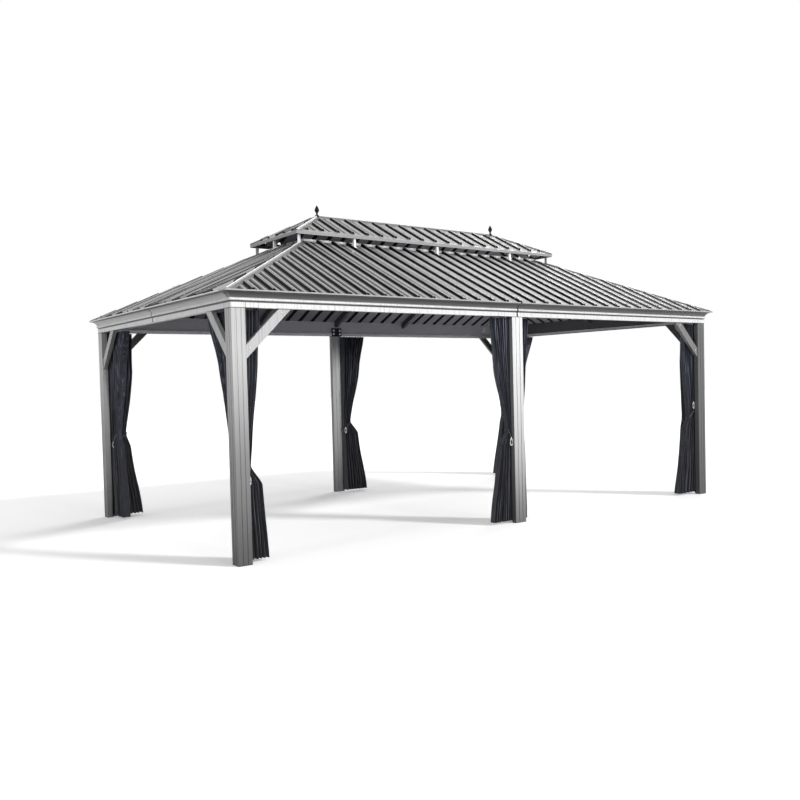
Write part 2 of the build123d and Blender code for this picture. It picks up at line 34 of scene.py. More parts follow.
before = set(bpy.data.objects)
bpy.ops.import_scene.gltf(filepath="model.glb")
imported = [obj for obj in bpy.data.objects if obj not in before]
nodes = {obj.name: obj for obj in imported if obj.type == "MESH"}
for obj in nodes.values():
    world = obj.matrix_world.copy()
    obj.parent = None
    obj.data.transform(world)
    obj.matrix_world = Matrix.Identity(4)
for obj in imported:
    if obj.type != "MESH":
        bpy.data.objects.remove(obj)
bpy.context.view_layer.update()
ROOT = "root"

# Sizes that the frame gives
EAVE_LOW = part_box("beam_front_left")[0]
HALF_LENGTH = -EAVE_LOW.x
HALF_WIDTH = -EAVE_LOW.y
POST_LOW, POST_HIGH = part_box("post_front_left")
MIDDLE_LOW, MIDDLE_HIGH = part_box("post_front_middle")
FACE_X = -POST_LOW.x
FACE_Y = -POST_LOW.y
CORNER_POST = POST_HIGH.x - POST_LOW.x
POST_DEPTH = MIDDLE_HIGH.y - MIDDLE_LOW.y
POST_TOP = POST_HIGH.z
INNER_X = FACE_X - POST_DEPTH
INNER_Y = FACE_Y - POST_DEPTH
LONG_EDGE = FACE_X - CORNER_POST
SHORT_EDGE = FACE_Y - CORNER_POST
UPPER_LOW, UPPER_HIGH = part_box("upper_roof_front")
UPPER_HALF_LENGTH = UPPER_HIGH.x
UPPER_HALF_WIDTH = -UPPER_LOW.y
VENT_HALF_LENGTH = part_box("vent_curb_front")[1].x
RAIL_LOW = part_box("curtain_rails")[0]

# Sizes that several pieces share
BAND_HEIGHT = 0.042
GROOVE_HEIGHT = 0.008
TORUS_HEIGHT = 0.024
COVE_HEIGHT = 0.046
TORUS_TOP = POST_TOP + BAND_HEIGHT + GROOVE_HEIGHT + TORUS_HEIGHT
EAVE_Z = TORUS_TOP + COVE_HEIGHT
LOWER_SLOPE = 0.467
UPPER_SLOPE = 0.5
UPPER_DRIP = 0.026
UPPER_EAVE_Z = UPPER_LOW.z + UPPER_DRIP
EAVE_BAND = 0.045
SHEET = 0.002
RIB_HEIGHT = 0.022
RIB_PITCH = 0.174
RIB_BASE = 0.046
RIB_TOP = 0.024
CAP_THICKNESS = 0.0025
HIP_FLANGE = 0.048
RIDGE_FLANGE = 0.056
ROLL_WIDTH = 0.024
ROLL_HEIGHT = 0.009
RIB_END_GAP = 0.003
BEAD_BASE = 0.013
JOINT_HALF_WIDTH = 0.009
SIDES = {"front": 0.0, "right": 90.0, "back": 180.0, "left": -90.0}
CORNERS = ((-1, -1), (-1, 1), (1, -1), (1, 1))

# Camera, from the photograph's perspective
CAMERA_PLACE = (-5.690, -8.030, 1.405)
CAMERA_YAW = 0.6463
CAMERA_PITCH = -0.0342
CAMERA_ROLL = -0.0234
FOCAL_PIXELS = 867.7
SHIFT_PIXELS = (40.3, 10.1)
FRAME_PIXELS = 800.0
SENSOR = 36.0


def add_object(name, data):
    made = bpy.data.objects.new(name, data)
    bpy.context.scene.collection.objects.link(made)
    return made


def add_camera():
    """Looks along the y axis, then is turned by its roll, pitch and yaw."""
    data = bpy.data.cameras.new("camera")
    data.sensor_width = SENSOR
    data.lens = FOCAL_PIXELS / FRAME_PIXELS * SENSOR
    data.shift_x = -SHIFT_PIXELS[0] / FRAME_PIXELS
    data.shift_y = SHIFT_PIXELS[1] / FRAME_PIXELS
    camera = add_object("camera", data)
    yaw = Matrix.Rotation(-CAMERA_YAW, 4, "Z")
    pitch = Matrix.Rotation(math.pi / 2 + CAMERA_PITCH, 4, "X")
    roll = Matrix.Rotation(CAMERA_ROLL, 4, "Z")
    camera.matrix_world = Matrix.Translation(CAMERA_PLACE) @ yaw @ pitch @ roll
    bpy.context.scene.camera = camera


# Materials

class Paint:
    """A node material around one Principled shader, with short ways to add and join nodes."""

    def __init__(self, name, color, roughness, metallic=0.0, specular=None):
        self.material = bpy.data.materials.new(name)
        self.material.use_nodes = True
        self.tree = self.material.node_tree
        self.shader = self.tree.nodes["Principled BSDF"]
        self.fill(self.shader.inputs["Base Color"], color)
        self.fill(self.shader.inputs["Roughness"], roughness)
        self.fill(self.shader.inputs["Metallic"], metallic)
        if specular is not None:
            self.fill(self.shader.inputs["Specular IOR Level"], specular)
        coordinates = self.node("ShaderNodeTexCoord").outputs
        self.place = coordinates["Object"]
        self.facing = coordinates["Normal"]
        self.across = coordinates["UV"]
        self.x, self.y, self.z = self.node("ShaderNodeSeparateXYZ", Vector=self.place).outputs

    def fill(self, socket, value):
        """Links another socket to a socket, or gives it a colour, a grey or a number."""
        if isinstance(value, bpy.types.NodeSocket):
            self.tree.links.new(value, socket)
        elif socket.type == "RGBA":
            color = value if isinstance(value, tuple) else (value, value, value)
            socket.default_value = (*color, 1.0)
        else:
            socket.default_value = value

    def node(self, kind, **inputs):
        """Adds a node and fills its inputs by name."""
        made = self.tree.nodes.new(kind)
        for key, value in inputs.items():
            self.fill(made.inputs[key.replace("_", " ")], value)
        return made

    def math(self, operation, first, second=0.0):
        made = self.node("ShaderNodeMath")
        made.operation = operation
        self.fill(made.inputs[0], first)
        self.fill(made.inputs[1], second)
        return made.outputs[0]

    def noise(self, scale, detail=3.0, stretch=None):
        """Noise over the object's own space, which may be stretched first."""
        place = self.place
        if stretch is not None:
            place = self.node("ShaderNodeMapping", Vector=place, Scale=stretch).outputs[0]
        return self.node("ShaderNodeTexNoise", Vector=place, Scale=scale, Detail=detail).outputs[0]

    def ramp(self, value, low, high, start=0.0, end=1.0):
        """Maps a value's range onto another, smoothly between its ends."""
        made = self.node("ShaderNodeMapRange", Value=value)
        made.interpolation_type = "SMOOTHSTEP"
        for key, number in (("From Min", start), ("From Max", end), ("To Min", low), ("To Max", high)):
            made.inputs[key].default_value = number
        return made.outputs[0]

    def blend(self, share, first, second, mode="MIX"):
        """Mixes two colours by a share."""
        made = self.node("ShaderNodeMix")
        made.data_type = "RGBA"
        made.blend_type = mode
        for index, value in ((0, share), (6, first), (7, second)):
            self.fill(made.inputs[index], value)
        return made.outputs[2]

    def size(self, value):
        return self.math("ABSOLUTE", value)

    def over(self, value, edge):
        """1 where a value is over an edge, and 0 elsewhere."""
        return self.math("GREATER_THAN", value, edge)

    def under(self, value, edge):
        return self.math("LESS_THAN", value, edge)

    def band(self, value, middle, reach):
        """1 where a value is within some reach of a middle, and 0 elsewhere."""
        return self.under(self.size(self.math("SUBTRACT", value, middle)), reach)

    def part_of(self, vector, axis):
        return self.node("ShaderNodeSeparateXYZ", Vector=vector).outputs[axis]

    def set(self, name, value):
        self.fill(self.shader.inputs[name], value)

    def bump(self, height, strength, distance):
        made = self.node("ShaderNodeBump", Height=height, Strength=strength, Distance=distance)
        self.set("Normal", made.outputs[0])

    def finish(self, color, gloss, roughness, grain):
        """Sets the colour, the roughness between two values by a noise, and a fine grain, which
        is given by its scale, detail, strength and distance. Returns the material."""
        scale, detail, strength, distance = grain
        self.set("Base Color", color)
        self.set("Roughness", self.ramp(gloss, *roughness))
        self.bump(self.noise(scale, detail), strength, distance)
        return self.material


FRAME_ROUGHNESS = (0.34, 0.48)
FRAME_GRAIN = (750.0, 1.0, 0.12, 0.0005)
STEEL_ROUGHNESS = (0.3, 0.5)
STEEL_GRAIN = (500.0, 1.0, 0.1, 0.0005)
STEEL_SPECULAR = 0.15
SHEET_ROUGHNESS = (0.3, 0.46)
SHEET_GRAIN = (420.0, 2.0, 0.1, 0.0006)
SHEET_SPECULAR = 0.06

RAIN_STRETCH = (75.0, 75.0, 0.9)
STREAKED = (0.48, 0.70)
# Heights over which painted shade darkens the frame's coat towards the foot
LOW_SHADE_HEIGHTS = (0.7, 1.75)
FOOT_SHADE_HEIGHTS = (-0.1, 0.95)
# Painted shade that the curtains would cast on the middle posts' side faces
CURTAIN_SHADE = (0.05, 0.05, 0.06)


def frame_coat(paint, shade, low_shade=1.0, foot_shade=None):
    """The colour of a silver grey powder coat, with rain streaks and painted shade that darkens it
    towards the foot.
    """
    cloud = paint.noise(3.5)
    streak = paint.noise(1.0, 4.0, RAIN_STRETCH)
    clean = paint.blend(cloud, shade * 0.93, (shade, shade, shade * 1.01))
    streaked = paint.blend(paint.ramp(streak, 0.0, 0.7, *STREAKED), clean, shade * 0.60)
    uneven = paint.math("MULTIPLY", paint.math("SUBTRACT", streak, 0.5), 0.3)
    height = paint.math("ADD", paint.z, uneven)
    # Painted shade: the coat darkens towards the foot, in place of the dark ground's reflection
    shaded_low = paint.blend(paint.ramp(height, 1.0, 0.0, *LOW_SHADE_HEIGHTS), streaked, shade * low_shade)
    foot_color = shade if foot_shade is None else foot_shade
    return paint.blend(paint.ramp(height, 1.0, 0.0, *FOOT_SHADE_HEIGHTS), shaded_low, foot_color)


def satin(paint, color):
    """The frame's satin finish over a colour."""
    return paint.finish(color, paint.noise(18.0), FRAME_ROUGHNESS, FRAME_GRAIN)


def frame_paint(name, shade, low_shade, foot_shade, side_shade=0.0):
    """A post's coat. The faces towards the long sides' ends may carry painted shade, where the curtains
    beside them would shade them.
    """
    paint = Paint(name, shade, 0.4)
    # Painted shade on the side faces, by the given share
    sideways = paint.over(paint.size(paint.part_of(paint.facing, "X")), 0.7)
    side_shaded = paint.math("MULTIPLY", sideways, side_shade)
    return satin(paint, paint.blend(side_shaded, frame_coat(paint, shade, low_shade, foot_shade), CURTAIN_SHADE))


def brace_paint(name, shade, far_shade, edge):
    """One coat on the braces whose x is under an edge, and a darker painted shade on the rest."""
    paint = Paint(name, shade, 0.4)
    far = paint.over(paint.x, edge)
    return satin(paint, paint.blend(far, frame_coat(paint, shade), far_shade))


EDGE = 0.001
JOINT_SHADE = 0.03
INNER_REACH = 0.03
# Inner faces of the beams: painted shade on the front and end beams, painted light on the back beam
SHADED_INSIDE = (0.12, 0.118, 0.135)
LIT_BACK_INSIDE = (0.93, 0.92, 0.97)


def beam_paint(name, shade):
    """The frame's coat with painted shade in the cove, under the lip, on the front lip and in the
    groove, dark joints, painted shade on the front and end inner faces and painted light on the back
    one.
    """
    paint = Paint(name, shade, 0.4)
    front = paint.ramp(paint.y, 1.0, 0.0, -INNER_Y - 0.01, -INNER_Y + 0.01)
    # Painted shade in the cove, darkest under the lip and much deeper on the front than at the ends
    rise = paint.ramp(paint.z, 0.0, 1.0, TORUS_TOP, EAVE_Z)
    front_cove_shade = paint.blend(rise, shade * 0.20, shade * 0.05)
    side_shade = paint.blend(rise, shade * 0.62, shade * 0.60)
    cove = paint.band(paint.z, TORUS_TOP + COVE_HEIGHT / 2 + EDGE, COVE_HEIGHT / 2 - EDGE)
    coat = paint.blend(cove, frame_coat(paint, shade), paint.blend(front, side_shade, front_cove_shade))
    # Painted shade on the front lip, and a painted shadow in a thin line just under the lip
    lip_coat = paint.blend(front, shade, shade * 0.5)
    coat = paint.blend(paint.over(paint.z, EAVE_Z), coat, lip_coat)
    coat = paint.blend(paint.band(paint.z, EAVE_Z - 0.002, 0.004), coat, shade * 0.10)
    # Painted shade in the groove
    groove_middle = POST_TOP + BAND_HEIGHT + GROOVE_HEIGHT / 2
    groove = paint.band(paint.z, groove_middle, GROOVE_HEIGHT / 2 + 0.003)
    coat = paint.blend(groove, coat, shade * 0.14)
    joints = [paint.band(along, 0.0, JOINT_HALF_WIDTH) for along in (paint.x, paint.y)]
    coat = paint.blend(paint.math("MAXIMUM", *joints), coat, JOINT_SHADE)
    # Painted shade on the inner faces, and painted light on the back beam's inner face
    inside_x = paint.under(paint.size(paint.x), INNER_X + INNER_REACH)
    inside_y = paint.under(paint.size(paint.y), INNER_Y + INNER_REACH)
    inner_coat = paint.blend(paint.over(paint.y, INNER_Y - 0.1), SHADED_INSIDE, LIT_BACK_INSIDE)
    return satin(paint, paint.blend(paint.math("MULTIPLY", inside_x, inside_y), coat, inner_coat))


RIBS_BEFORE = 60
LINED_LEFT = (-1.9, 0.2)
LINED_RIGHT = (1.5, 2.4)
# Painted shade lines on the pans, between the beads
PAN_LINE = 0.0095
PAN_LINE_PLACE = RIB_BASE / 2 + (RIB_PITCH - RIB_BASE) * 3 / 8
PAN_LINE_SHADE = 0.02


def from_rib(paint, axis):
    """How far a place is, along an axis, from the middle of the nearest rib."""
    before = (RIBS_BEFORE + 0.5) * RIB_PITCH
    shifted = paint.math("ADD", paint.part_of(paint.place, axis), before)
    return paint.math("SUBTRACT", paint.math("MODULO", shifted, RIB_PITCH), RIB_PITCH / 2)


def lined(paint, share):
    """A share that is kept near both ends of the roof, where painted shade lines show on the pans."""
    left = paint.ramp(paint.x, 1.0, 0.0, *LINED_LEFT)
    right = paint.ramp(paint.x, 0.0, 0.8, *LINED_RIGHT)
    return paint.math("MULTIPLY", share, paint.math("MAXIMUM", left, right))


def uneven_steel(paint, shade):
    return paint.blend(paint.noise(2.2, 4.0), shade * 0.85, shade * 1.12)


def bead_paint(name, shade):
    """The long slopes' beads, pale as a painted highlight. The middle bead of each pan has painted
    shade where the pans are lined.
    """
    paint = Paint(name, shade, 0.38, specular=STEEL_SPECULAR)
    middle = paint.band(paint.size(from_rib(paint, "X")), RIB_PITCH / 2, BEAD_BASE)
    color = paint.blend(lined(paint, middle), uneven_steel(paint, shade), PAN_LINE_SHADE)
    return paint.finish(color, paint.noise(38.0, 2.0), STEEL_ROUGHNESS, STEEL_GRAIN)


def cap_paint(name, shade):
    """Coated steel of the caps and trims, with fine water spots."""
    paint = Paint(name, shade, 0.38, specular=STEEL_SPECULAR)
    spots = paint.noise(38.0, 2.0)
    spotted = paint.ramp(spots, 0.0, 0.5, 0.55, 0.75)
    color = paint.blend(spotted, uneven_steel(paint, shade), shade * 0.6)
    return paint.finish(color, spots, STEEL_ROUGHNESS, STEEL_GRAIN)


WEAR_SHADE = 0.32
# Painted shade of the ribs' flanks at the right end, where it is lighter
FAR_FLANK_SHADE = 0.12
FAR_FLANKS = (0.6, 2.4)
# Underside: painted light that grows to the right, and painted shade in the hollows under the ribs
LEFT_UNDERSIDE = (0.22, 0.215, 0.26)
RIGHT_UNDERSIDE = (0.82, 0.81, 0.88)
RIB_HOLLOW_SHADE = (0.03, 0.03, 0.035)


def roof_paint(name, axis, shadow_shade, edge_shade, sun_shade, top_shade, left_shade, right_glare):
    """Grey coated sheet, lighter to the right as a painted glare, whose ribs are counted along an axis.
    Painted shade lies on one flank of the ribs, and its underside is paler between them."""
    paint = Paint(name, 0.15, 0.4, specular=SHEET_SPECULAR)
    along_x = axis == "X"
    cloud = paint.noise(1.3, 5.0)
    streak = paint.noise(1.0, 5.0, (40.0, 1.4, 1.4) if along_x else (1.4, 40.0, 1.4))
    # Painted reflection: the sheet lightens to the right as a glare
    rightward = paint.ramp(paint.x, 0.0, 1.0, -HALF_LENGTH, HALF_LENGTH)
    pale = paint.blend(rightward, left_shade, right_glare)
    clouded = paint.blend(1.0, pale, paint.blend(cloud, 0.80, (1.20, 1.20, 1.21)), "MULTIPLY")
    wear = paint.blend(rightward, WEAR_SHADE, right_glare)
    worn = paint.blend(paint.ramp(streak, 0.0, 0.5, 0.45, 0.8), clouded, wear)

    offset = from_rib(paint, axis)
    # Painted shade lines between the beads
    line = paint.band(offset, PAN_LINE_PLACE, PAN_LINE)
    pans = paint.blend(lined(paint, line), worn, PAN_LINE_SHADE)
    # Painted highlight on the rib tops
    ribbed = paint.blend(paint.band(offset, 0.0, RIB_TOP / 2), pans, top_shade)

    # Painted shade on one flank of each rib, uneven along the ribs and lighter to the right, with a
    # painted shade line at the rib top's edge; the other flank's colour is painted too
    patches = paint.noise(1.0, 2.0, (5.5, 0.5, 0.0) if along_x else (0.5, 5.5, 0.0))
    patchy = paint.ramp(patches, 0.0, 1.0, 0.42, 0.58)
    flank = paint.blend(patchy, shadow_shade * 0.15, shadow_shade)
    flank = paint.blend(paint.ramp(paint.x, 0.0, 0.85, *FAR_FLANKS), flank, FAR_FLANK_SHADE)
    flank_middle = (RIB_TOP + RIB_BASE) / 4
    flank_reach = (RIB_BASE - RIB_TOP) / 4 + EDGE
    steep = paint.over(paint.size(paint.part_of(paint.facing, axis)), 0.6)
    shadow_side = paint.math("MULTIPLY", steep, paint.band(offset, -flank_middle, flank_reach))
    sun_side = paint.math("MULTIPLY", steep, paint.band(offset, flank_middle, flank_reach))
    ribbed = paint.blend(shadow_side, ribbed, flank)
    ribbed = paint.blend(paint.band(offset, -RIB_TOP / 2, 0.0008), ribbed, edge_shade)
    ribbed = paint.blend(sun_side, ribbed, sun_shade)

    # Painted light on the underside towards the right, and painted shade in the rib hollows
    under_pans = paint.blend(rightward, LEFT_UNDERSIDE, RIGHT_UNDERSIDE)
    under_ribs = paint.band(offset, 0.0, RIB_BASE / 2 + 0.004)
    underside = paint.blend(under_ribs, under_pans, RIB_HOLLOW_SHADE)
    color = paint.blend(paint.under(paint.part_of(paint.facing, "Z"), -0.3), ribbed, underside)
    return paint.finish(color, cloud, SHEET_ROUGHNESS, SHEET_GRAIN)


DULL_BRACKET = 0.16
DULL_BRACKETS_FROM = (1.4, 0.38)


def bracket_paint(name):
    """Bright brackets, duller at the raised roof's right end and back."""
    paint = Paint(name, 0.8, 0.4, 0.1)
    cloud = paint.noise(30.0)
    bright = paint.blend(cloud, 0.78, 0.90)
    end, side = DULL_BRACKETS_FROM
    dull = paint.math("MAXIMUM", paint.over(paint.x, end), paint.over(paint.y, side))
    color = paint.blend(dull, bright, DULL_BRACKET)
    return paint.finish(color, cloud, (0.34, 0.5), STEEL_GRAIN)


THREADS = (620.0, 620.0, 620.0)
CLOTH_DARK = (0.012, 0.014, 0.022)
CLOTH_LIGHT = (0.042, 0.047, 0.070)
THREAD_LIGHT = (0.070, 0.074, 0.096)
CLOTH_HIGHLIGHT = (0.15, 0.167, 0.235)
CLOTH_LOW = (0.012, 0.012, 0.016)
HIGHLIGHT_STRETCH = (45.0, 45.0, 1.1)
WRINKLE_STRETCH = (1.0, 1.0, 0.35)


def cloth(name):
    """Dark woven polyester: a fine weave, a soft sheen, and painted highlights in streaks over its
    upper half.
    """
    paint = Paint(name, (0.03, 0.032, 0.042), 0.85)
    weave = paint.node("ShaderNodeMapping", Vector=paint.across, Scale=THREADS).outputs[0]
    warp, weft = (paint.math("SINE", paint.part_of(weave, axis)) for axis in "XY")
    threads = paint.math("MULTIPLY", warp, weft)
    base = paint.blend(paint.noise(5.0, 5.0), CLOTH_DARK, CLOTH_LIGHT)
    base = paint.blend(paint.ramp(threads, 0.0, 0.2, -1.0, 1.0), base, THREAD_LIGHT)
    base = paint.blend(paint.ramp(paint.z, 0.75, 0.0, 0.6, 1.6), base, CLOTH_LOW)
    # Painted highlights: pale vertical streaks in the upper half, standing in for lit fold crests
    streak = paint.ramp(paint.noise(1.0, 3.0, HIGHLIGHT_STRETCH), 0.0, 1.0, 0.52, 0.66)
    highlighted = paint.math("MULTIPLY", streak, paint.ramp(paint.z, 0.2, 1.0, 0.9, 1.9))
    paint.set("Base Color", paint.blend(highlighted, base, CLOTH_HIGHLIGHT))
    paint.set("Roughness", paint.ramp(paint.noise(60.0), 0.75, 0.95))
    paint.set("Sheen Weight", 0.35)
    paint.set("Sheen Roughness", 0.5)
    wrinkle = paint.noise(34.0, 3.0, WRINKLE_STRETCH)
    height = paint.math("ADD", paint.math("MULTIPLY", threads, 0.05), wrinkle)
    paint.bump(height, 0.35, 0.004)
    return paint.material


def simple_paint(name, dark, light, roughness, metallic, grain, specular=None):
    """A finish for small pieces: two near shades, uneven gloss and a fine grain."""
    paint = Paint(name, light, roughness, metallic, specular)
    cloud = paint.noise(grain * 0.1)
    color = paint.blend(cloud, dark, light)
    return paint.finish(color, cloud, (roughness - 0.08, roughness + 0.1), (grain, 3.0, 0.15, 0.0004))


BEAM_PAINT = beam_paint("beam_paint", 0.84)
# Roof sheets: painted shade on the rib flanks and edges, painted highlights on the rib tops, and on the
# long slopes a painted glare to the right
SHEET_ALONG_X = roof_paint(
    "roof_sheet_long", "X", shadow_shade=0.012, edge_shade=0.012, sun_shade=0.20, top_shade=0.22,
    left_shade=0.12, right_glare=0.80)
SHEET_ALONG_Y = roof_paint(
    "roof_sheet_short", "Y", shadow_shade=0.38, edge_shade=0.10, sun_shade=0.05, top_shade=0.45,
    left_shade=0.16, right_glare=0.16)
# The beads' pale grey is a painted highlight
LONG_BEAD_HIGHLIGHT = bead_paint("bead_paint_long", 0.52)
SHORT_BEAD_HIGHLIGHT = cap_paint("bead_paint_short", 0.50)
# A painted highlight: the rolls are much paler than the caps they lie on
ROLL_HIGHLIGHT = cap_paint("cap_roll", 0.80)
TRIM_PAINT = cap_paint("eave_trim", 0.34)
CLOTH = cloth("curtain_cloth")
BLACK = simple_paint(
    "finial_paint", (0.004, 0.004, 0.005), (0.010, 0.010, 0.011), 0.6, 0.0, 300.0, STEEL_SPECULAR)
ALUMINIUM = simple_paint("rail_aluminium", (0.40, 0.40, 0.42), (0.55, 0.55, 0.57), 0.35, 0.7, 260.0)
ZINC = simple_paint("zinc_steel", 0.62, 0.78, 0.3, 0.6, 400.0)
RUBBER = simple_paint("gasket_rubber", 0.05, 0.11, 0.7, 0.0, 500.0)
BRIGHT_STEEL = simple_paint("bright_steel", 0.80, 0.92, 0.35, 0.1, 400.0)
SCREW_PAINT = simple_paint("screw_paint", 0.22, 0.32, 0.4, 0.2, 400.0)

# The material of each node, by the first starts that its name has
NODE_PAINTS = {
    # The posts share one coat: painted light makes the middle posts paler, and painted shade makes the
    # front right post near black
    ("post_front_middle", "post_back_middle"): frame_paint(
        "lit_middle_post_paint", 0.90, low_shade=0.58, foot_shade=0.12, side_shade=0.75),
    ("post_front_right",): frame_paint("shaded_post_paint", 0.13, low_shade=0.75, foot_shade=0.07),
    ("post",): frame_paint("corner_post_paint", 0.57, low_shade=0.36, foot_shade=0.06),
    # The braces share one coat; their darker shades at the back and front right are painted shade
    ("knee_braces_front_left",): brace_paint("brace_paint", 0.54, 0.54, FACE_X),
    ("knee_braces_front_right",): brace_paint("front_right_brace_paint", 0.20, 0.06, LONG_EDGE),
    ("knee_braces_back_left",): brace_paint("back_left_brace_paint", 0.45, 0.07, -LONG_EDGE),
    ("knee_braces_back_right",): brace_paint("back_right_brace_paint", 0.08, 0.08, FACE_X),
    ("beam_joint", "finial"): BLACK,
    ("beam",): BEAM_PAINT,
    ("upper_roof_brackets",): bracket_paint("bracket_paint"),
    ("lower_roof_front", "lower_roof_back", "upper_roof_front", "upper_roof_back"): SHEET_ALONG_X,
    ("lower_roof", "upper_roof"): SHEET_ALONG_Y,
    ("lower_hip_caps", "upper_hip_caps", "ridge_cap"): cap_paint("roof_cap", 0.17),
    ("vent_curb",): cap_paint("curb_paint", 0.85),
    ("rafter", "hip_rafters"): simple_paint(
        "inner_paint", (0.055, 0.055, 0.062), (0.085, 0.085, 0.092), 0.55, 0.0, 120.0),
    ("curtain_rails",): ALUMINIUM,
    ("curtain",): CLOTH,
}


def dress_nodes():
    for name, piece in nodes.items():
        paint = next(paint for starts, paint in NODE_PAINTS.items() if name.startswith(starts))
        piece.data.materials.clear()
        piece.data.materials.append(paint)


# Meshes

def add_mesh(name, mesh, material, smooth=False):
    data = bpy.data.meshes.new(name)
    mesh.to_mesh(data)
    mesh.free()
    data.materials.append(material)
    data.polygons.foreach_set("use_smooth", [smooth] * len(data.polygons))
    return add_object(name, data)


def add_piece(name, mesh, material, smooth=False, outward=False):
    """Makes a mesh a piece of the gazebo. Its faces may be turned outward first."""
    if outward:
        bmesh.ops.recalc_face_normals(mesh, faces=mesh.faces)
    piece = add_mesh(name, mesh, material, smooth)
    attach(piece, ROOT)
    return piece


def add_bar(mesh, outlines, closed=False):
    """A bar through outlines with as many corners each, capped or closed to a ring."""
    rings = [[mesh.verts.new(corner) for corner in outline] for outline in outlines]
    pairs = list(zip(rings, rings[1:]))
    if closed:
        pairs.append((rings[-1], rings[0]))
    for lower, upper in pairs:
        for index in range(len(lower)):
            following = (index + 1) % len(lower)
            mesh.faces.new((lower[index], lower[following], upper[following], upper[index]))
    if not closed:
        mesh.faces.new(list(reversed(rings[0])))
        mesh.faces.new(rings[-1])


def add_plate(mesh, outline, low, high):
    """An upright plate with a level outline."""
    add_bar(mesh, [[Vector((x, y, z)) for x, y in outline] for z in (low, high)])


def add_box(mesh, low, high):
    corners = [(low[0], low[1]), (high[0], low[1]), (high[0], high[1]), (low[0], high[1])]
    add_plate(mesh, corners, low[2], high[2])


def circle(sides):
    """The cosines and sines of even steps round a circle."""
    turns = [2 * math.pi * index / sides for index in range(sides)]
    return [(math.cos(turn), math.sin(turn)) for turn in turns]


def add_lathe(mesh, profile, sides, place):
    """A turned form. The profile lists radius and height."""
    turns = circle(sides)
    add_bar(mesh, [[place @ Vector((r * x, r * y, z)) for x, y in turns] for r, z in profile])


def add_tube(mesh, path, radius, sides, closed=False):
    """A round bar along a path of points."""
    rings = []
    count = len(path)
    for index, point in enumerate(path):
        before = path[index - 1] if closed or index else path[0]
        after = path[(index + 1) % count] if closed or index < count - 1 else path[-1]
        along = (after - before).normalized()
        aside = along.cross(Vector((0.0, 0.0, 1.0)))
        if aside.length < 0.1:
            aside = along.cross(Vector((1.0, 0.0, 0.0)))
        aside.normalize()
        other = along.cross(aside)
        rings.append([point + radius * (x * aside + y * other) for x, y in circle(sides)])
    add_bar(mesh, rings, closed)


# Roof slopes

class Slope:
    """One ribbed slope: half its run along the eave, the distance of its eave from the middle,
    the height of its eave, its slope, and the setbacks between which its ribs run."""

    def __init__(self, tier, side):
        self.tier = tier
        self.side = side
        self.long = side in ("front", "back")
        self.turn = Matrix.Rotation(math.radians(SIDES[side]), 4, "Z")
        if tier == "lower":
            sizes = (HALF_LENGTH, HALF_WIDTH)
            self.base, self.slope = EAVE_Z, LOWER_SLOPE
            self.start, self.end = 0.010, HALF_LENGTH - VENT_HALF_LENGTH
            self.rib_end = self.end
        else:
            sizes = (UPPER_HALF_LENGTH, UPPER_HALF_WIDTH)
            self.base, self.slope = UPPER_EAVE_Z, UPPER_SLOPE
            self.start, self.end = EAVE_BAND, UPPER_HALF_WIDTH
            self.rib_end = self.end - RIDGE_FLANGE * math.cos(math.atan(UPPER_SLOPE)) - RIB_END_GAP
        self.half_run, self.stand = sizes if self.long else reversed(sizes)
        self.tilt = math.atan(self.slope)
        self.hip_fall = math.atan(self.slope / math.sqrt(2 + self.slope ** 2))
        self.hip_squeeze = math.cos(self.hip_fall) * math.sqrt(2)
        self.margin = HIP_FLANGE * self.hip_squeeze + RIB_END_GAP * math.sqrt(2)

    def point(self, along, setback, lift=0.0):
        """A place on the slope, lifted square to it by some thickness."""
        y = -self.stand + setback - lift * math.sin(self.tilt)
        z = self.base + setback * self.slope + lift * math.cos(self.tilt)
        return self.turn @ Vector((along, y, z))

    def frame(self, along, setback, lift):
        """A placement whose z axis stands square on the slope."""
        tilt = Matrix.Rotation(self.tilt, 4, "X")
        return Matrix.Translation(self.point(along, setback, lift)) @ self.turn @ tilt

    def rib_count(self):
        """How many ribs stand on each side of the middle one."""
        return int((self.half_run - self.margin - RIB_BASE) // RIB_PITCH)

    def ribs(self):
        return [index * RIB_PITCH for index in range(-self.rib_count(), self.rib_count() + 1)]

    def reach(self, along):
        """The setback at which a line up the slope meets the hip cap or the head."""
        return min(self.rib_end, self.half_run - self.margin - abs(along))


LOWER_ROOF = [Slope("lower", side) for side in SIDES]
UPPER_ROOF = [Slope("upper", side) for side in SIDES]
SLOPES = LOWER_ROOF + UPPER_ROOF

BEAD_TOP = 0.007
BEAD_HEIGHT = 0.0035
BEADS_PER_PAN = 3
SHORTEST_BEAD = 0.05


def bead_places(slope):
    """Where the beads of every pan lie along the eave."""
    pan = RIB_PITCH - RIB_BASE
    places = []
    for index in range(-slope.rib_count() - 1, slope.rib_count() + 1):
        left_edge = index * RIB_PITCH + RIB_BASE / 2
        for step in range(BEADS_PER_PAN):
            places.append(left_edge + pan * (step + 1) / (BEADS_PER_PAN + 1))
    return places


def add_beads():
    """Low stiffening beads pressed up the pans between the ribs."""
    section = [
        (-BEAD_BASE / 2, SHEET),
        (-BEAD_TOP / 2, SHEET + BEAD_HEIGHT),
        (BEAD_TOP / 2, SHEET + BEAD_HEIGHT),
        (BEAD_BASE / 2, SHEET),
    ]
    for slope in SLOPES:
        mesh = bmesh.new()
        for along in bead_places(slope):
            top = slope.reach(along)
            if top - slope.start < SHORTEST_BEAD:
                continue
            ends = []
            for setback in (slope.start, top):
                ends.append([slope.point(along + x, setback, lift) for x, lift in section])
            add_bar(mesh, ends)
        paint = LONG_BEAD_HIGHLIGHT if slope.long else SHORT_BEAD_HIGHLIGHT
        add_piece(f"pan_beads_{slope.tier}_{slope.side}", mesh, paint, outward=True)


# Screws

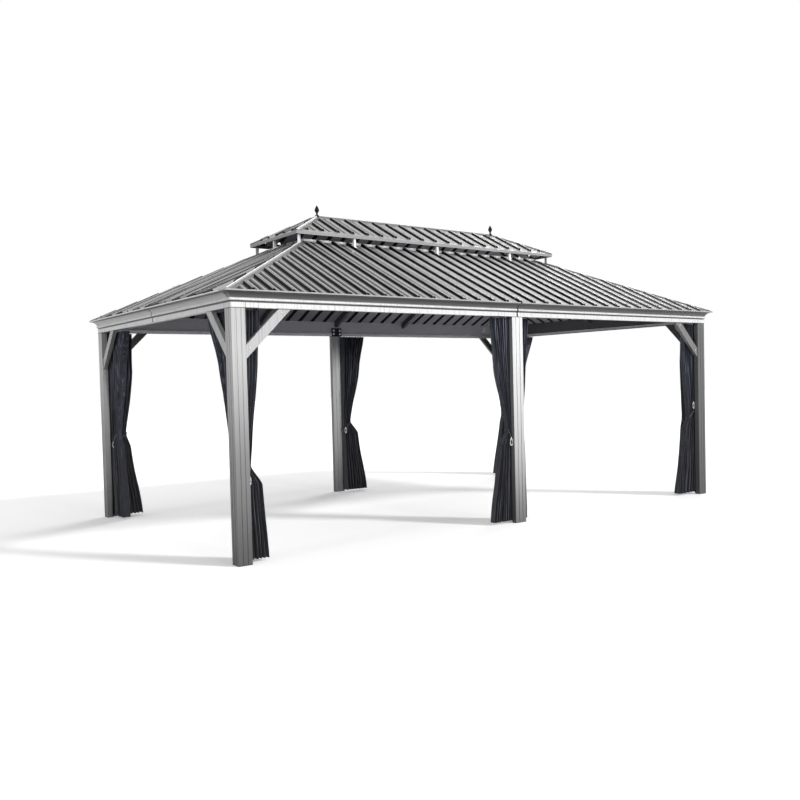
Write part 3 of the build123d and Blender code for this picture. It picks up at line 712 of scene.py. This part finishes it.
WASHER_RADIUS = 0.0085
HEAD_RADIUS = 0.0055
WASHER_PROFILE = ((WASHER_RADIUS, 0.0), (WASHER_RADIUS, 0.0012), (HEAD_RADIUS, 0.002))
HEAD_PROFILE = ((HEAD_RADIUS, 0.001), (HEAD_RADIUS, 0.0055), (HEAD_RADIUS * 0.8, 0.0065))


def add_screws(name, places, material, size=1.0):
    """Hexagon heads on round washers, on the z axes of their placements. The size widens them."""
    mesh = bmesh.new()
    for place in places:
        for profile, sides in ((WASHER_PROFILE, 12), (HEAD_PROFILE, 6)):
            add_lathe(mesh, [(radius * size, height) for radius, height in profile], sides, place)
    add_piece(name, mesh, material)


# Each row's setback, and how many ribs apart its screws are
SCREW_ROWS = ((0.063, 1), (0.675, 3), (1.235, 3))
SCREW_TO_HIP = 0.03


def sheet_screws():
    """Rows of screws through the rib tops of the lower roof."""
    for slope in LOWER_ROOF:
        for setback, step in SCREW_ROWS:
            for index, along in enumerate(slope.ribs()):
                on_row = (index - slope.rib_count()) % step == 0
                if on_row and slope.reach(along) > setback + SCREW_TO_HIP:
                    yield slope.frame(along, setback, SHEET + RIB_HEIGHT)


CAP_LIFT = SHEET + CAP_THICKNESS
CAP_SCREW_SPACING = 0.29
CAP_SCREW_OFFSET = 0.031
FIRST_CAP_SCREW = 0.09
LAST_CAP_SCREW = 0.06
RIDGE_SETBACK = 0.034
RIDGE_SCREWS_A_SIDE = 6


def cap_screws():
    """Screws along both flanges of every hip cap, and of the ridge cap."""
    for slope in SLOPES:
        count = int((slope.end - FIRST_CAP_SCREW - LAST_CAP_SCREW) // CAP_SCREW_SPACING) + 1
        for index in range(count):
            setback = FIRST_CAP_SCREW + index * CAP_SCREW_SPACING
            along = slope.half_run - setback - CAP_SCREW_OFFSET * slope.hip_squeeze
            for way in (-1, 1):
                yield slope.frame(way * along, setback, CAP_LIFT)
        if slope.tier == "upper" and slope.long:
            for index in range(-RIDGE_SCREWS_A_SIDE, RIDGE_SCREWS_A_SIDE + 1):
                yield slope.frame(index * RIB_PITCH, slope.end - RIDGE_SETBACK, CAP_LIFT)


BOLT_SIZE = 1.5
BRACKET_SETBACK = 1.222
BRACKET_SHIFT = -0.087
BRACKET_SPACING = 6 * RIB_PITCH


def bracket_bolts():
    """A bolt through the lower roof beside each bracket of the raised roof's sides."""
    for slope in LOWER_ROOF:
        for along in (-BRACKET_SPACING, 0.0, BRACKET_SPACING) if slope.long else (0.0,):
            yield slope.frame(along + BRACKET_SHIFT, BRACKET_SETBACK, SHEET)


# Rolls and trims

ROLL_STEPS = 8
ROLL_HALF = ROLL_WIDTH / 4 + 0.0008
ROLL_RISE = 0.0035
ROLL_SINK = 0.0006
# How far the hips' rolls stay from the eave and the head of each tier
ROLL_GAPS = {"lower": (0.012, 0.002), "upper": (0.004, 0.0)}


def roll_section():
    """A thin half-round bead on a cap roll's flat top: how far across, and how high."""
    turns = [math.pi * step / ROLL_STEPS for step in range(ROLL_STEPS + 1)]
    level = ROLL_HEIGHT - ROLL_SINK
    return [(-ROLL_HALF * math.cos(turn), level + ROLL_RISE * math.sin(turn)) for turn in turns]


def add_rolls():
    """Half-round rolls along the hips and the ridge, their bright colour a painted highlight."""
    mesh = bmesh.new()
    for slope in (LOWER_ROOF[0], UPPER_ROOF[0]):
        crown = CAP_LIFT / math.cos(slope.hip_fall)
        along = Vector((1.0, 1.0, slope.slope)).normalized()
        across = Vector((1.0, -1.0, 0.0)).normalized()
        square = across.cross(along)
        if square.z < 0:
            square.negate()
        low_gap, high_gap = ROLL_GAPS[slope.tier]
        for flip_x, flip_y in CORNERS:
            ends = []
            for setback in (low_gap, slope.end - high_gap):
                foot = Vector((
                    -slope.half_run + setback,
                    -slope.stand + setback,
                    slope.base + setback * slope.slope,
                ))
                ring = [foot + across * x + square * (crown + z) for x, z in roll_section()]
                ends.append([Vector((flip_x * p.x, flip_y * p.y, p.z)) for p in ring])
            add_bar(mesh, ends)
    ridge = UPPER_HALF_LENGTH - UPPER_HALF_WIDTH
    crown = UPPER_EAVE_Z + UPPER_HALF_WIDTH * UPPER_SLOPE + CAP_LIFT / math.cos(math.atan(UPPER_SLOPE))
    ends = [[Vector((x, y, crown + z)) for y, z in roll_section()] for x in (-ridge, ridge)]
    add_bar(mesh, ends)
    add_piece("cap_rolls", mesh, ROLL_HIGHLIGHT, outward=True)


TRIM = 0.0008
TRIM_SETBACK = EAVE_BAND - 0.002


def add_eave_trims():
    """Thin folded trims over the plain edges of the raised roof."""
    mesh = bmesh.new()
    top = SHEET / math.cos(math.atan(UPPER_SLOPE))
    section = [
        (-TRIM, -UPPER_DRIP),
        (-TRIM, top + TRIM),
        (TRIM_SETBACK, TRIM_SETBACK * UPPER_SLOPE + top + TRIM),
        (TRIM_SETBACK, TRIM_SETBACK * UPPER_SLOPE + top),
        (0.0, top),
        (0.0, -UPPER_DRIP),
    ]
    for slope in UPPER_ROOF:
        ends = []
        for way in (-1, 1):
            ring = []
            for setback, rise in section:
                x = way * (slope.half_run - setback)
                ring.append(slope.turn @ Vector((x, setback - slope.stand, slope.base + rise)))
            ends.append(ring)
        add_bar(mesh, ends)
    add_piece("eave_trims", mesh, TRIM_PAINT, outward=True)


# Posts and beams

GASKET_HEIGHT = 0.005
GASKET_PROUD = 0.0012
SEAM_WIDTH = 0.003
SEAM_PROUD = 0.0006
SEAM_DEPTH = 0.002


def add_gaskets():
    """Thin dark gaskets between the post tops and the beams."""
    mesh = bmesh.new()
    proud = GASKET_PROUD
    low, high = POST_TOP - GASKET_HEIGHT, POST_TOP
    for end, side in CORNERS:
        outer_x, outer_y = end * (FACE_X + proud), side * (FACE_Y + proud)
        inner_x, inner_y = end * (LONG_EDGE - proud), side * (SHORT_EDGE - proud)
        step_x, step_y = end * (INNER_X - proud), side * (INNER_Y - proud)
        outline = [
            (outer_x, outer_y), (outer_x, inner_y), (step_x, inner_y),
            (step_x, step_y), (inner_x, step_y), (inner_x, outer_y),
        ]
        add_plate(mesh, outline, low, high)
    for side in (-1, 1):
        near, far = sorted((side * (FACE_Y + proud), side * (INNER_Y - proud)))
        add_box(mesh, (MIDDLE_LOW.x - proud, near, low), (MIDDLE_HIGH.x + proud, far, high))
    add_piece("post_gaskets", mesh, RUBBER, outward=True)


def add_band_seams():
    """Joint lines in the beam's bottom band, just beside the corner posts."""
    mesh = bmesh.new()
    top = POST_TOP + BAND_HEIGHT
    half = SEAM_WIDTH / 2
    for end, side in CORNERS:
        x = end * (LONG_EDGE - SEAM_WIDTH)
        y = side * (SHORT_EDGE - SEAM_WIDTH)
        near, far = sorted((side * (FACE_Y - SEAM_DEPTH), side * (FACE_Y + SEAM_PROUD)))
        add_box(mesh, (x - half, near, POST_TOP), (x + half, far, top))
        near, far = sorted((end * (FACE_X - SEAM_DEPTH), end * (FACE_X + SEAM_PROUD)))
        add_box(mesh, (near, y - half, POST_TOP), (far, y + half, top))
    add_piece("band_seams", mesh, RUBBER)


def facing_out(x, y, z, degrees):
    """A placement on the front side's face turned to another side, its z axis pointing out."""
    turn = Matrix.Rotation(math.radians(degrees), 4, "Z")
    return turn @ Matrix.Translation((x, y, z)) @ Matrix.Rotation(math.radians(90.0), 4, "X")


JOINT_BOLT_REACH = 0.045
JOINT_BOLT_INSET = 0.028


def beam_bolts():
    """Four bolts in each joint bracket inside the long beams."""
    low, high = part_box("beam_joint_front")
    for degrees in (180.0, 360.0):
        for x in (-JOINT_BOLT_REACH, JOINT_BOLT_REACH):
            for z in (low.z + JOINT_BOLT_INSET, high.z - JOINT_BOLT_INSET):
                yield facing_out(x, -high.y, z, degrees)


BRACE_WIDTH = 0.038
BRACE_BOLT_SIZE = 0.8
BRACE_BOLTS = (0.034, 0.316)


def brace_bolts():
    """A bolt at each end of every knee brace, on its outer face."""
    depth = (POST_DEPTH - BRACE_WIDTH) / 2
    for degrees in SIDES.values():
        run, stand = (FACE_X, FACE_Y) if degrees in (0.0, 180.0) else (FACE_Y, FACE_X)
        for way in (-1, 1):
            for reach, drop in (BRACE_BOLTS, reversed(BRACE_BOLTS)):
                x = way * (run - CORNER_POST - reach)
                yield facing_out(x, -stand + depth, POST_TOP - drop, degrees)


# Finials

FINIAL_SIDES = 24
SPEAR_HEIGHT = 0.107
SPEAR_PROFILE = (
    (0.020, -0.018), (0.021, -0.002), (0.020, 0.004), (0.014, 0.008), (0.010, 0.011), (0.009, 0.018),
    (0.009, 0.025), (0.012, 0.028), (0.0105, 0.031), (0.016, 0.038), (0.0215, 0.046), (0.024, 0.054),
    (0.0235, 0.062), (0.0205, 0.072), (0.016, 0.082), (0.011, 0.092), (0.006, 0.101), (0.0015, 0.1068),
)


def add_finials():
    """Turned spears on round collars."""
    for name in ("finial_left", "finial_right"):
        low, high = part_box(name)
        centre = (low + high) / 2
        mesh = bmesh.new()
        foot = Matrix.Translation((centre.x, centre.y, high.z - SPEAR_HEIGHT))
        add_lathe(mesh, SPEAR_PROFILE, FINIAL_SIDES, foot)
        piece = add_piece(f"{name}_spear", mesh, BLACK, smooth=True)
        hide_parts(name)


# Curtains

CLOTH_WIDTH = 1.45
CLOTH_LENGTH = 1.97
CLOTH_HEAD = POST_TOP - 0.011
CLOTH_HEM = 0.022
SHOULDER = 1.575
TIE = 0.905
LOW_TIE = 0.765
SKIRT_DROP = 0.15
DEPTHS = (0.070, 0.075, 0.062, 0.080, 0.100)
COLUMNS = 200
ROWS = 90
POST_GAP = 0.010
RAIL_SLOT = 0.011
STRAP_FALL = 0.11

# How the folds vary: each noise has its steps per fold and per metre of height
SIZE_STEP = 1.7
SIZE_SPREAD = 0.75
DRIFT_GRAIN = (0.45, 0.8)
DEPTH_GRAIN = (1.3, 0.7)
CRUMPLE_GRAIN = (1.9, 3.4)
NEAR_PHASE = 0.75
DRIFT = 0.30
PINCH_REACH = 0.10
FOLD_DEPTH = 0.95
FOLD_DEPTH_SPREAD = 0.45
RIPPLE = 0.10
CRUMPLE = 0.16
PINCHED_CRUMPLE = 0.10
FOLD_LEAN = 0.30
SIDEWAYS_CRUMPLE = 0.03
DEPTH_SHARE = 0.47
EASED_SHARE = 0.35


def between_levels(levels, height):
    """A value at a height, eased a little between heights and values that go downwards."""
    if height >= levels[0][0]:
        return levels[0][1]
    for (upper, first), (lower, second) in zip(levels, levels[1:]):
        if height >= lower:
            share = (upper - height) / (upper - lower)
            eased = share * share * (3 - 2 * share)
            return first + (second - first) * ((1 - EASED_SHARE) * share + EASED_SHARE * eased)
    return levels[-1][1]


class Curtain:
    """A gathered curtain. Made on the front side at the left of a post, then carried to its
    place. Its spreads give how far it reaches past the post's edge at each height."""

    def __init__(
        self, name, edge, wall, near, spreads, seed, place,
        folds=8, tie=TIE, reach=0.0, fall=STRAP_FALL,
    ):
        heights = (CLOTH_HEAD, SHOULDER, tie, tie - SKIRT_DROP, CLOTH_HEM)
        self.edge = edge
        self.fall = fall
        self.name = name
        self.place = place
        self.folds = folds
        self.seed = seed
        self.tie = tie
        self.rail_y = wall - POST_GAP + RAIL_SLOT
        self.wall = wall - reach
        self.near = edge + near
        self.far = [(height, edge - spread) for height, spread in zip(heights, spreads)]
        self.depth = list(zip(heights, DEPTHS))
        self.marks = self.fold_marks()

    def fold_marks(self):
        """Shares of the width at which each fold ends, uneven but always in order."""
        sizes = []
        for index in range(self.folds):
            chance = noise.noise(Vector((index * SIZE_STEP, self.seed * 3.1, 0.5)))
            sizes.append(1.0 + SIZE_SPREAD * chance)
        total = sum(sizes)
        marks = [0.0]
        for size in sizes:
            marks.append(marks[-1] + size / total)
        return marks

    def phase(self, across):
        """How many folds lie before a share of the width."""
        for index in range(self.folds):
            if across <= self.marks[index + 1]:
                start, end = self.marks[index], self.marks[index + 1]
                return index + (across - start) / (end - start)
        return float(self.folds)

    def section(self, height):
        """Both ends of the curtain along the track, and its depth, at one height."""
        return self.near, between_levels(self.far, height), between_levels(self.depth, height)

    def chance(self, phase, height, grain, layer):
        """A noise over the folds and the height."""
        return noise.noise(Vector((phase * grain[0], height * grain[1], self.seed + layer)))

    def point(self, across, height):
        """Where a share of the cloth's width hangs at a height."""
        near, far, depth = self.section(height)
        pinch = math.exp(-((height - self.tie) / PINCH_REACH) ** 2)
        phase = self.phase(across)
        drift = self.chance(phase, height, DRIFT_GRAIN, 0.0)
        wave = 2 * math.pi * (phase + NEAR_PHASE + DRIFT * drift * (1 - pinch) * min(1.0, phase))
        deeper = self.chance(math.floor(phase + 0.25), height, DEPTH_GRAIN, 3.0)
        fold = math.sin(wave) * (FOLD_DEPTH + FOLD_DEPTH_SPREAD * deeper)
        crumple = self.chance(phase, height, CRUMPLE_GRAIN, 7.0)
        ripple = RIPPLE * math.sin(3 * wave + 5.0 * drift)
        fold += ripple + (CRUMPLE + PINCHED_CRUMPLE * pinch) * crumple
        share = across - FOLD_LEAN / (2 * math.pi * self.folds) * math.sin(2 * wave)
        share += SIDEWAYS_CRUMPLE * crumple * (1 - pinch)
        x = near + (far - near) * min(max(share, 0.0), 1.0)
        y = self.wall + depth * (0.5 + DEPTH_SHARE * max(-1.0, min(1.0, fold)))
        return self.place @ Vector((x, y, height))

    def build(self):
        """The cloth as one layer, its UV in metres of the flat sheet."""
        mesh = bmesh.new()
        layer = mesh.loops.layers.uv.new("UVMap")
        grid = []
        for row in range(ROWS + 1):
            height = CLOTH_HEAD + (CLOTH_HEM - CLOTH_HEAD) * row / ROWS
            points = [self.point(column / COLUMNS, height) for column in range(COLUMNS + 1)]
            grid.append([mesh.verts.new(point) for point in points])
        for row in range(ROWS):
            for column in range(COLUMNS):
                corners = ((row, column), (row + 1, column), (row + 1, column + 1), (row, column + 1))
                face = mesh.faces.new([grid[r][c] for r, c in corners])
                for loop, (r, c) in zip(face.loops, corners):
                    loop[layer].uv = (CLOTH_WIDTH * c / COLUMNS, CLOTH_LENGTH * r / ROWS)
        return add_piece(self.name, mesh, CLOTH, smooth=True)


TRACK_WALL_Y = -INNER_Y + POST_GAP
TRACK_WALL_X = -INNER_X + POST_GAP
LONG_NEAR = CORNER_POST - POST_DEPTH - POST_GAP
SHORT_NEAR = LONG_NEAR - max(DEPTHS) - 0.008
MIDDLE_EDGE = MIDDLE_LOW.x
BEHIND_POST = MIDDLE_HIGH.x - 0.004
MIDDLE_REACH = 0.034
SHORT_SEED = 20.0

FLIP_X = Matrix.Scale(-1.0, 4, (1.0, 0.0, 0.0))
FLIP_Y = Matrix.Scale(-1.0, 4, (0.0, 1.0, 0.0))
KEEP = Matrix.Identity(4)
TO_RIGHT = Matrix.Rotation(math.radians(90.0), 4, "Z") @ FLIP_X
LONG_BACK = (0.210, 0.205, 0.110, 0.150, 0.262)
LONG_BACK_RIGHT = (0.210, 0.205, 0.050, 0.095, 0.240)
SHORT_BACK = (0.560, 0.400, 0.160, 0.200, 0.270)


def corner_curtains(corner, flip, long_spreads, short_spreads, seed, **tied):
    """The two curtains of a corner: one on its long side and one on its short side."""
    along_x = Curtain(
        f"curtain_{corner}_long", LONG_EDGE, TRACK_WALL_Y, LONG_NEAR, long_spreads, seed, flip, **tied)
    along_y = Curtain(
        f"curtain_{corner}_short", SHORT_EDGE, TRACK_WALL_X, SHORT_NEAR, short_spreads,
        seed + SHORT_SEED, flip @ TO_RIGHT)
    return along_x, along_y


def curtain_plans():
    """The curtains by the CAD node that each group replaces."""
    return {
        "curtains_front_right": corner_curtains(
            "front_right", KEEP, (0.165, 0.150, 0.080, 0.150, 0.270),
            (0.130, 0.130, 0.120, 0.130, 0.190), 1.0, fall=-0.14),
        "curtains_front_left": corner_curtains(
            "front_left", FLIP_X, (0.160, 0.140, 0.040, 0.135, 0.180),
            (0.545, 0.330, 0.150, 0.150, 0.155), 2.0, tie=LOW_TIE),
        "curtains_back_right": corner_curtains("back_right", FLIP_Y, LONG_BACK_RIGHT, SHORT_BACK, 3.0),
        "curtains_back_left": corner_curtains("back_left", FLIP_X @ FLIP_Y, LONG_BACK, SHORT_BACK, 4.0),
        "curtains_front_middle": (
            Curtain(
                "curtain_front_middle_left", MIDDLE_EDGE, TRACK_WALL_Y, -0.004,
                (0.205, 0.175, 0.040, 0.130, 0.235), 5.0, KEEP, reach=MIDDLE_REACH),
            Curtain(
                "curtain_front_middle_right", MIDDLE_EDGE, TRACK_WALL_Y, BEHIND_POST,
                (0.145, 0.100, 0.050, 0.070, 0.085), 6.0, FLIP_X, folds=9),
        ),
        "curtain_back_middle": (
            Curtain(
                "curtain_back_middle_sheet", MIDDLE_EDGE, TRACK_WALL_Y, 0.025,
                (0.310, 0.235, 0.075, 0.180, 0.290), 7.0, FLIP_X @ FLIP_Y),
        ),
    }


def add_fitting(curtain, kind, mesh, material):
    return add_piece(f"{curtain.name}_{kind}", mesh, material, smooth=True, outward=True)


STRAP_HEIGHT = 0.030
STRAP_CLEARANCE = 0.002
STRAP_PROUD = 0.005
STRAP_CORNERS = 32
RING_HALF_WIDTH = 0.013
RING_HALF_HEIGHT = 0.034
RING_STEPS = 20
RING_SIDES = 8
RING_WIRE = 0.004
RING_BACK_SHIFT = 0.016
RING_FRONT_SHIFT = 0.010
RING_TO_EDGE = 0.018
# The hook above the ring: how far aside, and how far above the ring's top
HOOK_PATH = ((0.0, 0.014), (0.0, 0.0), (0.005, -0.012), (0.010, -0.004))


def tie_outline(curtain, margin):
    """The rounded outline of a gathered curtain at its tie, a little proud of the cloth.

    It falls, or rises, from the curtain's free side to the ring at the post."""
    near, far, depth = curtain.section(curtain.tie)
    half_x = abs(far - near) / 2 + margin
    half_y = depth / 2 + margin
    outline = []
    for x, y in circle(STRAP_CORNERS):
        share_x = math.copysign(abs(x) ** 0.5, x)
        share_y = math.copysign(abs(y) ** 0.5, y)
        outline.append(Vector((
            (near + far) / 2 + half_x * share_x,
            curtain.wall + depth / 2 + half_y * share_y,
            curtain.tie - curtain.fall * (share_x + 1) / 2,
        )))
    return outline


def add_tie(curtain):
    """A cloth strap round the curtain."""
    mesh = bmesh.new()
    rings = []
    inner, outer = STRAP_CLEARANCE, STRAP_PROUD
    for margin, side in ((inner, -1), (outer, -1), (outer, 1), (inner, 1)):
        offset = Vector((0.0, 0.0, side * STRAP_HEIGHT / 2))
        rings.append([curtain.place @ (point + offset) for point in tie_outline(curtain, margin)])
    add_bar(mesh, rings, closed=True)
    return add_fitting(curtain, "strap", mesh, CLOTH)


def add_ring(curtain, inner):
    """The strap's metal ring and its hook, at the post. It hangs on one face of the curtain."""
    near, _, depth = curtain.section(curtain.tie)
    if inner:
        face = curtain.wall + depth + STRAP_PROUD + RING_WIRE
        x = near - RING_BACK_SHIFT
    else:
        face = curtain.wall - STRAP_PROUD - RING_WIRE
        x = min(near - RING_FRONT_SHIFT, curtain.edge - RING_TO_EDGE)
    middle = Vector((x, face, curtain.tie - curtain.fall - RING_WIRE))
    loop = [(RING_HALF_WIDTH * x, RING_HALF_HEIGHT * z) for x, z in circle(RING_STEPS)]
    hook = [(x, RING_HALF_HEIGHT + z) for x, z in HOOK_PATH]
    mesh = bmesh.new()
    for outline, closed in ((loop, True), (hook, False)):
        path = [curtain.place @ (middle + Vector((x, 0.0, z))) for x, z in outline]
        add_tube(mesh, path, RING_WIRE, RING_SIDES, closed)
    return add_fitting(curtain, "ring", mesh, BRIGHT_STEEL)


HOOKS = 8
HOOK_WIRE = 0.0022
HOOK_SIDES = 6
HOOK_IN_TRACK = 0.006
# Heights of a hook's bends and of its tip over the cloth's upper edge
HOOK_RISES = (0.009, 0.005, -0.004)


def add_hooks(curtain):
    """Small runners that hold the curtain's head to its track."""
    mesh = bmesh.new()
    near, far, depth = curtain.section(CLOTH_HEAD)
    cloth_y = curtain.wall + depth / 2
    upper_bend, lower_bend, tip = (CLOTH_HEAD + rise for rise in HOOK_RISES)
    for index in range(HOOKS):
        x = near + (far - near) * (index + 0.5) / HOOKS
        wire = [
            Vector((x, curtain.rail_y, RAIL_LOW.z + HOOK_IN_TRACK)),
            Vector((x, curtain.rail_y, upper_bend)),
            Vector((x, (curtain.rail_y + cloth_y) / 2, lower_bend)),
            Vector((x, cloth_y, tip)),
        ]
        add_tube(mesh, [curtain.place @ point for point in wire], HOOK_WIRE, HOOK_SIDES)
    return add_fitting(curtain, "hooks", mesh, ALUMINIUM)


def add_curtains():
    """Every curtain with its strap, ring and hooks. Rings hang on the inner face at the back."""
    for node, plans in curtain_plans().items():
        for plan in plans:
            piece = plan.build()
            fittings = [add_tie(plan), add_ring(plan, "back" in node), add_hooks(plan)]
            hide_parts(node)


# Studio

WHITE = (1.0, 1.0, 1.0)
FLOOR_HALF = 60.0
FLOOR_COLOR = 0.96
FLOOR_BOUNCE = 0.16
FLOOR_GLOW = 0.24
SKY_STRENGTH = 0.5


def seen_rays(tree):
    """A socket that is 1 for camera, glossy and transmission rays, and 0 for the others."""
    path = tree.nodes.new("ShaderNodeLightPath")
    total = path.outputs["Is Camera Ray"]
    for kind in ("Is Glossy Ray", "Is Transmission Ray"):
        larger = tree.nodes.new("ShaderNodeMath")
        larger.operation = "MAXIMUM"
        tree.links.new(total, larger.inputs[0])
        tree.links.new(path.outputs[kind], larger.inputs[1])
        total = larger.outputs[0]
    return total


def add_floor():
    """A pale floor. It shows white to the camera, and throws little light back up."""
    mesh = bmesh.new()
    corners = ((-1, -1), (1, -1), (1, 1), (-1, 1))
    mesh.faces.new([mesh.verts.new((x * FLOOR_HALF, y * FLOOR_HALF, 0.0)) for x, y in corners])
    paint = Paint("floor_paint", FLOOR_COLOR, 0.95, specular=0.0)
    seen = seen_rays(paint.tree)
    paint.set("Base Color", paint.blend(seen, FLOOR_BOUNCE, FLOOR_COLOR))
    paint.set("Emission Color", WHITE)
    paint.set("Emission Strength", paint.math("MULTIPLY", seen, FLOOR_GLOW))
    add_mesh("floor", mesh, paint.material)


def add_world():
    """Soft grey light all round. The camera and reflections see it white."""
    world = bpy.data.worlds.new("studio")
    world.use_nodes = True
    tree = world.node_tree
    background = tree.nodes["Background"]
    background.inputs["Color"].default_value = (*WHITE, 1.0)
    strength = tree.nodes.new("ShaderNodeMapRange")
    strength.inputs["To Min"].default_value = SKY_STRENGTH
    strength.inputs["To Max"].default_value = 1.0
    tree.links.new(seen_rays(tree), strength.inputs["Value"])
    tree.links.new(strength.outputs[0], background.inputs["Strength"])
    bpy.context.scene.world = world


# Each lamp's name, the direction its light comes from, its strength, and its softness in degrees
LAMPS = (
    ("key_light", (0.481, -0.687, 0.545), 2.1, 8.0),
    ("front_light", (0.100, -0.990, 0.080), 1.1, 6.0),
    ("left_light", (-0.970, -0.200, 0.150), 0.75, 10.0),
    ("rim_light", (0.760, 0.480, 0.430), 1.2, 25.0),
)


def add_suns():
    """Soft distant lamps."""
    for name, direction, strength, softness in LAMPS:
        data = bpy.data.lights.new(name, "SUN")
        data.energy = strength
        data.angle = math.radians(softness)
        lamp = add_object(name, data)
        lamp.matrix_world = Vector(direction).to_track_quat("Z", "Y").to_matrix().to_4x4()


dress_nodes()
add_beads()
add_screws("sheet_screws", sheet_screws(), SCREW_PAINT)
add_screws("cap_screws", cap_screws(), SCREW_PAINT)
add_screws("bracket_bolts", bracket_bolts(), BRIGHT_STEEL, BOLT_SIZE)
add_rolls()
add_eave_trims()
add_gaskets()
add_band_seams()
add_screws("beam_bolts", beam_bolts(), ZINC, BOLT_SIZE)
add_screws("brace_bolts", brace_bolts(), BEAM_PAINT, BRACE_BOLT_SIZE)
add_finials()
add_curtains()
add_camera()
add_floor()
add_world()
add_suns()
bpy.context.scene.view_settings.view_transform = "Standard"
